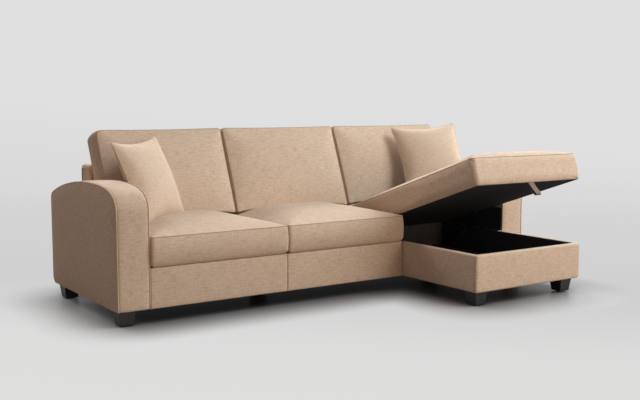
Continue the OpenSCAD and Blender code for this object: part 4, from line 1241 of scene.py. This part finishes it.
class SOFA_OT_fittings(bpy.types.Operator):
    """Finishes of the boards, lining, hinges, struts and fixings"""

    bl_idname = "sofa.fittings"
    bl_label = "Boards and fittings"

    def execute(self, context):
        c = colours()
        for material, names in (
                (wood("frame_timber", c.timber, (9, 60, 60), 0.75),
                 "mounting_blocks seat_front_rail seat_rear_rail seat_cross_rails back_posts back_top_rail "
                 "left_arm_frame right_arm_frame box_front_board box_side_boards box_floor lid_board lid_rear_rail"),
                (felt("black_felt", c.lining), "box_lining"),
                # Painted shade: the lid's lining is a copy of the black lining 30 % darker, so its lit underside reads
                # as shade
                (felt("lid_felt", tuple(0.7 * v for v in c.lining)), "lid_lining"),
                (felt("dust_cloth", c.lining, 1400.0), "underside_cloth"),
                # Painted shade: the box's back boards are a copy of the black lining at half its tone, so where the
                # low lamp reaches inside the box they read as shade
                (felt("board_felt", tuple(0.5 * v for v in c.lining)), "box_rear_board chaise_rear_boards"),
                (felt("deck_felt", (0.05, 0.05, 0.052), 700.0), "seat_deck"),
                (felt("seat_straps", (0.03, 0.03, 0.032), 1100.0), "seat_webbing"),
                (metal("zinc_steel", c.steel, 0.35),
                 "foot_studs connector_bolts hinge_box_leaves hinge_lid_leaves hinge_pins"),
                (metal("strut_paint", (0.02, 0.02, 0.021), 0.4, 0.0),
                 "strut_box_brackets strut_lid_brackets strut_tube_left strut_tube_right"),
                (metal("dark_rod", (0.05, 0.05, 0.055), 0.3), "strut_rod_left strut_rod_right"),
                (metal("moulded_glide", (0.03, 0.03, 0.03), 0.55, 0.0), "foot_glides")):
            for name in names.split():
                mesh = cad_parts[name].data
                mesh.materials.clear()
                mesh.materials.append(material)
        return {"FINISHED"}


# Stage


def area_lamp(name, place, aim, size, colour):
    lamp = bpy.data.lights.new(name + "_lamp", "AREA")
    lamp.shape = "RECTANGLE"
    lamp.size, lamp.size_y = size
    lamp.energy, lamp.color = getattr(studio(), name), colour
    obj = add(name + "_lamp", lamp)
    obj.location = place
    obj.rotation_euler = (Vector(aim) - Vector(place)).to_track_quat("-Z", "Y").to_euler()


class SOFA_OT_stage(bpy.types.Operator):
    """Floor and backdrop, soft studio light and the camera at the photograph's view"""

    bl_idname = "sofa.stage"
    bl_label = "Studio"

    def execute(self, context):
        scene = context.scene
        half_width, start, wall, turn = 14, -8.0, 6.0, 3.0
        ahead = Vector((math.sin(CAMERA_YAW), math.cos(CAMERA_YAW), 0))
        side = Vector((math.cos(CAMERA_YAW), -math.sin(CAMERA_YAW), 0))
        profile = [(start + 0.5 * k, 0.0) for k in range(29)]
        profile += [(wall + turn * s, turn * (1 - c)) for c, s in arc(range(1, 13), 12)]
        profile += [(wall + turn, turn + k) for k in range(1, 6)]

        def place(u, v):
            s, z = profile[v]
            return ahead * s + side * u + Vector((0, 0, z))

        bm = sheet(range(-half_width, half_width + 1), range(len(profile)), place, lambda u, v: (u, v))
        recalc(bm)
        if min(bm.faces, key=lambda f: f.calc_center_median().z).normal.z < 0:
            bmesh.ops.reverse_faces(bm, faces=bm.faces)
        sweep = add_mesh("studio_sweep", bm)
        sweep.data.materials.append(paper("backdrop_paper", studio().paper))

        world = bpy.data.worlds.new("studio_air")
        scene.world = world
        world.use_nodes = True
        air = world.node_tree
        light = air.nodes["Background"]
        wire(air, light, {"Color": (1, 1, 1, 1), "Strength": studio().fill})
        backdrop = put(air, "Background", {"Color": (*WALL_TONE, 1)})
        either = put(air, "MixShader", {0: seen_rays(air), 1: light.outputs[0], 2: backdrop.outputs[0]})
        wire(air, air.nodes["World Output"], {"Surface": either.outputs[0]})
        for name, values in LAMPS.items():
            area_lamp(name, *values)

        camera = bpy.data.cameras.new("photo_camera")
        camera.sensor_width, camera.lens = SENSOR, LENS
        camera.clip_start, camera.clip_end = 0.05, 100
        eye = add("photo_camera", camera)
        eye.location = CAMERA_PLACE
        eye.rotation_euler = (math.pi / 2 - CAMERA_DIP, 0, -CAMERA_YAW)
        scene.camera = eye
        scene.view_settings.view_transform = "Standard"
        return {"FINISHED"}


class SOFA_PT_panel(bpy.types.Panel):
    """Buttons for every step of dressing the sofa"""

    bl_idname = "SOFA_PT_panel"
    bl_label = "Storage sofa"
    bl_space_type = "VIEW_3D"
    bl_region_type = "UI"
    bl_category = "Sofa"

    def draw(self, context):
        for values in (colours(), sizes(), studio()):
            box = self.layout.box()
            for key in values.__annotations__:
                box.prop(values, key)
        for step in STEPS:
            self.layout.operator(step.bl_idname)


STEPS = (
    SOFA_OT_stage, SOFA_OT_fittings, SOFA_OT_feet, SOFA_OT_arms, SOFA_OT_shade_decking, SOFA_OT_base, SOFA_OT_back,
    SOFA_OT_chaise_box, SOFA_OT_lid, SOFA_OT_seat_cushions, SOFA_OT_back_cushions, SOFA_OT_throw_cushions,
    SOFA_OT_pull_tab,
)
CLASSES = (SofaColours, SofaSizes, SofaStudio, *STEPS, SOFA_PT_panel)


def register():
    for cls in CLASSES:
        bpy.utils.register_class(cls)
    bpy.types.Scene.sofa_colours = PointerProperty(type=SofaColours)
    bpy.types.Scene.sofa_sizes = PointerProperty(type=SofaSizes)
    bpy.types.Scene.sofa_studio = PointerProperty(type=SofaStudio)


def unregister():
    del bpy.types.Scene.sofa_studio
    del bpy.types.Scene.sofa_sizes
    del bpy.types.Scene.sofa_colours
    for cls in reversed(CLASSES):
        bpy.utils.unregister_class(cls)


def main():
    register()
    for step in STEPS:
        area, name = step.bl_idname.split(".")
        getattr(getattr(bpy.ops, area), name)()


if __name__ == "__main__":
    main()
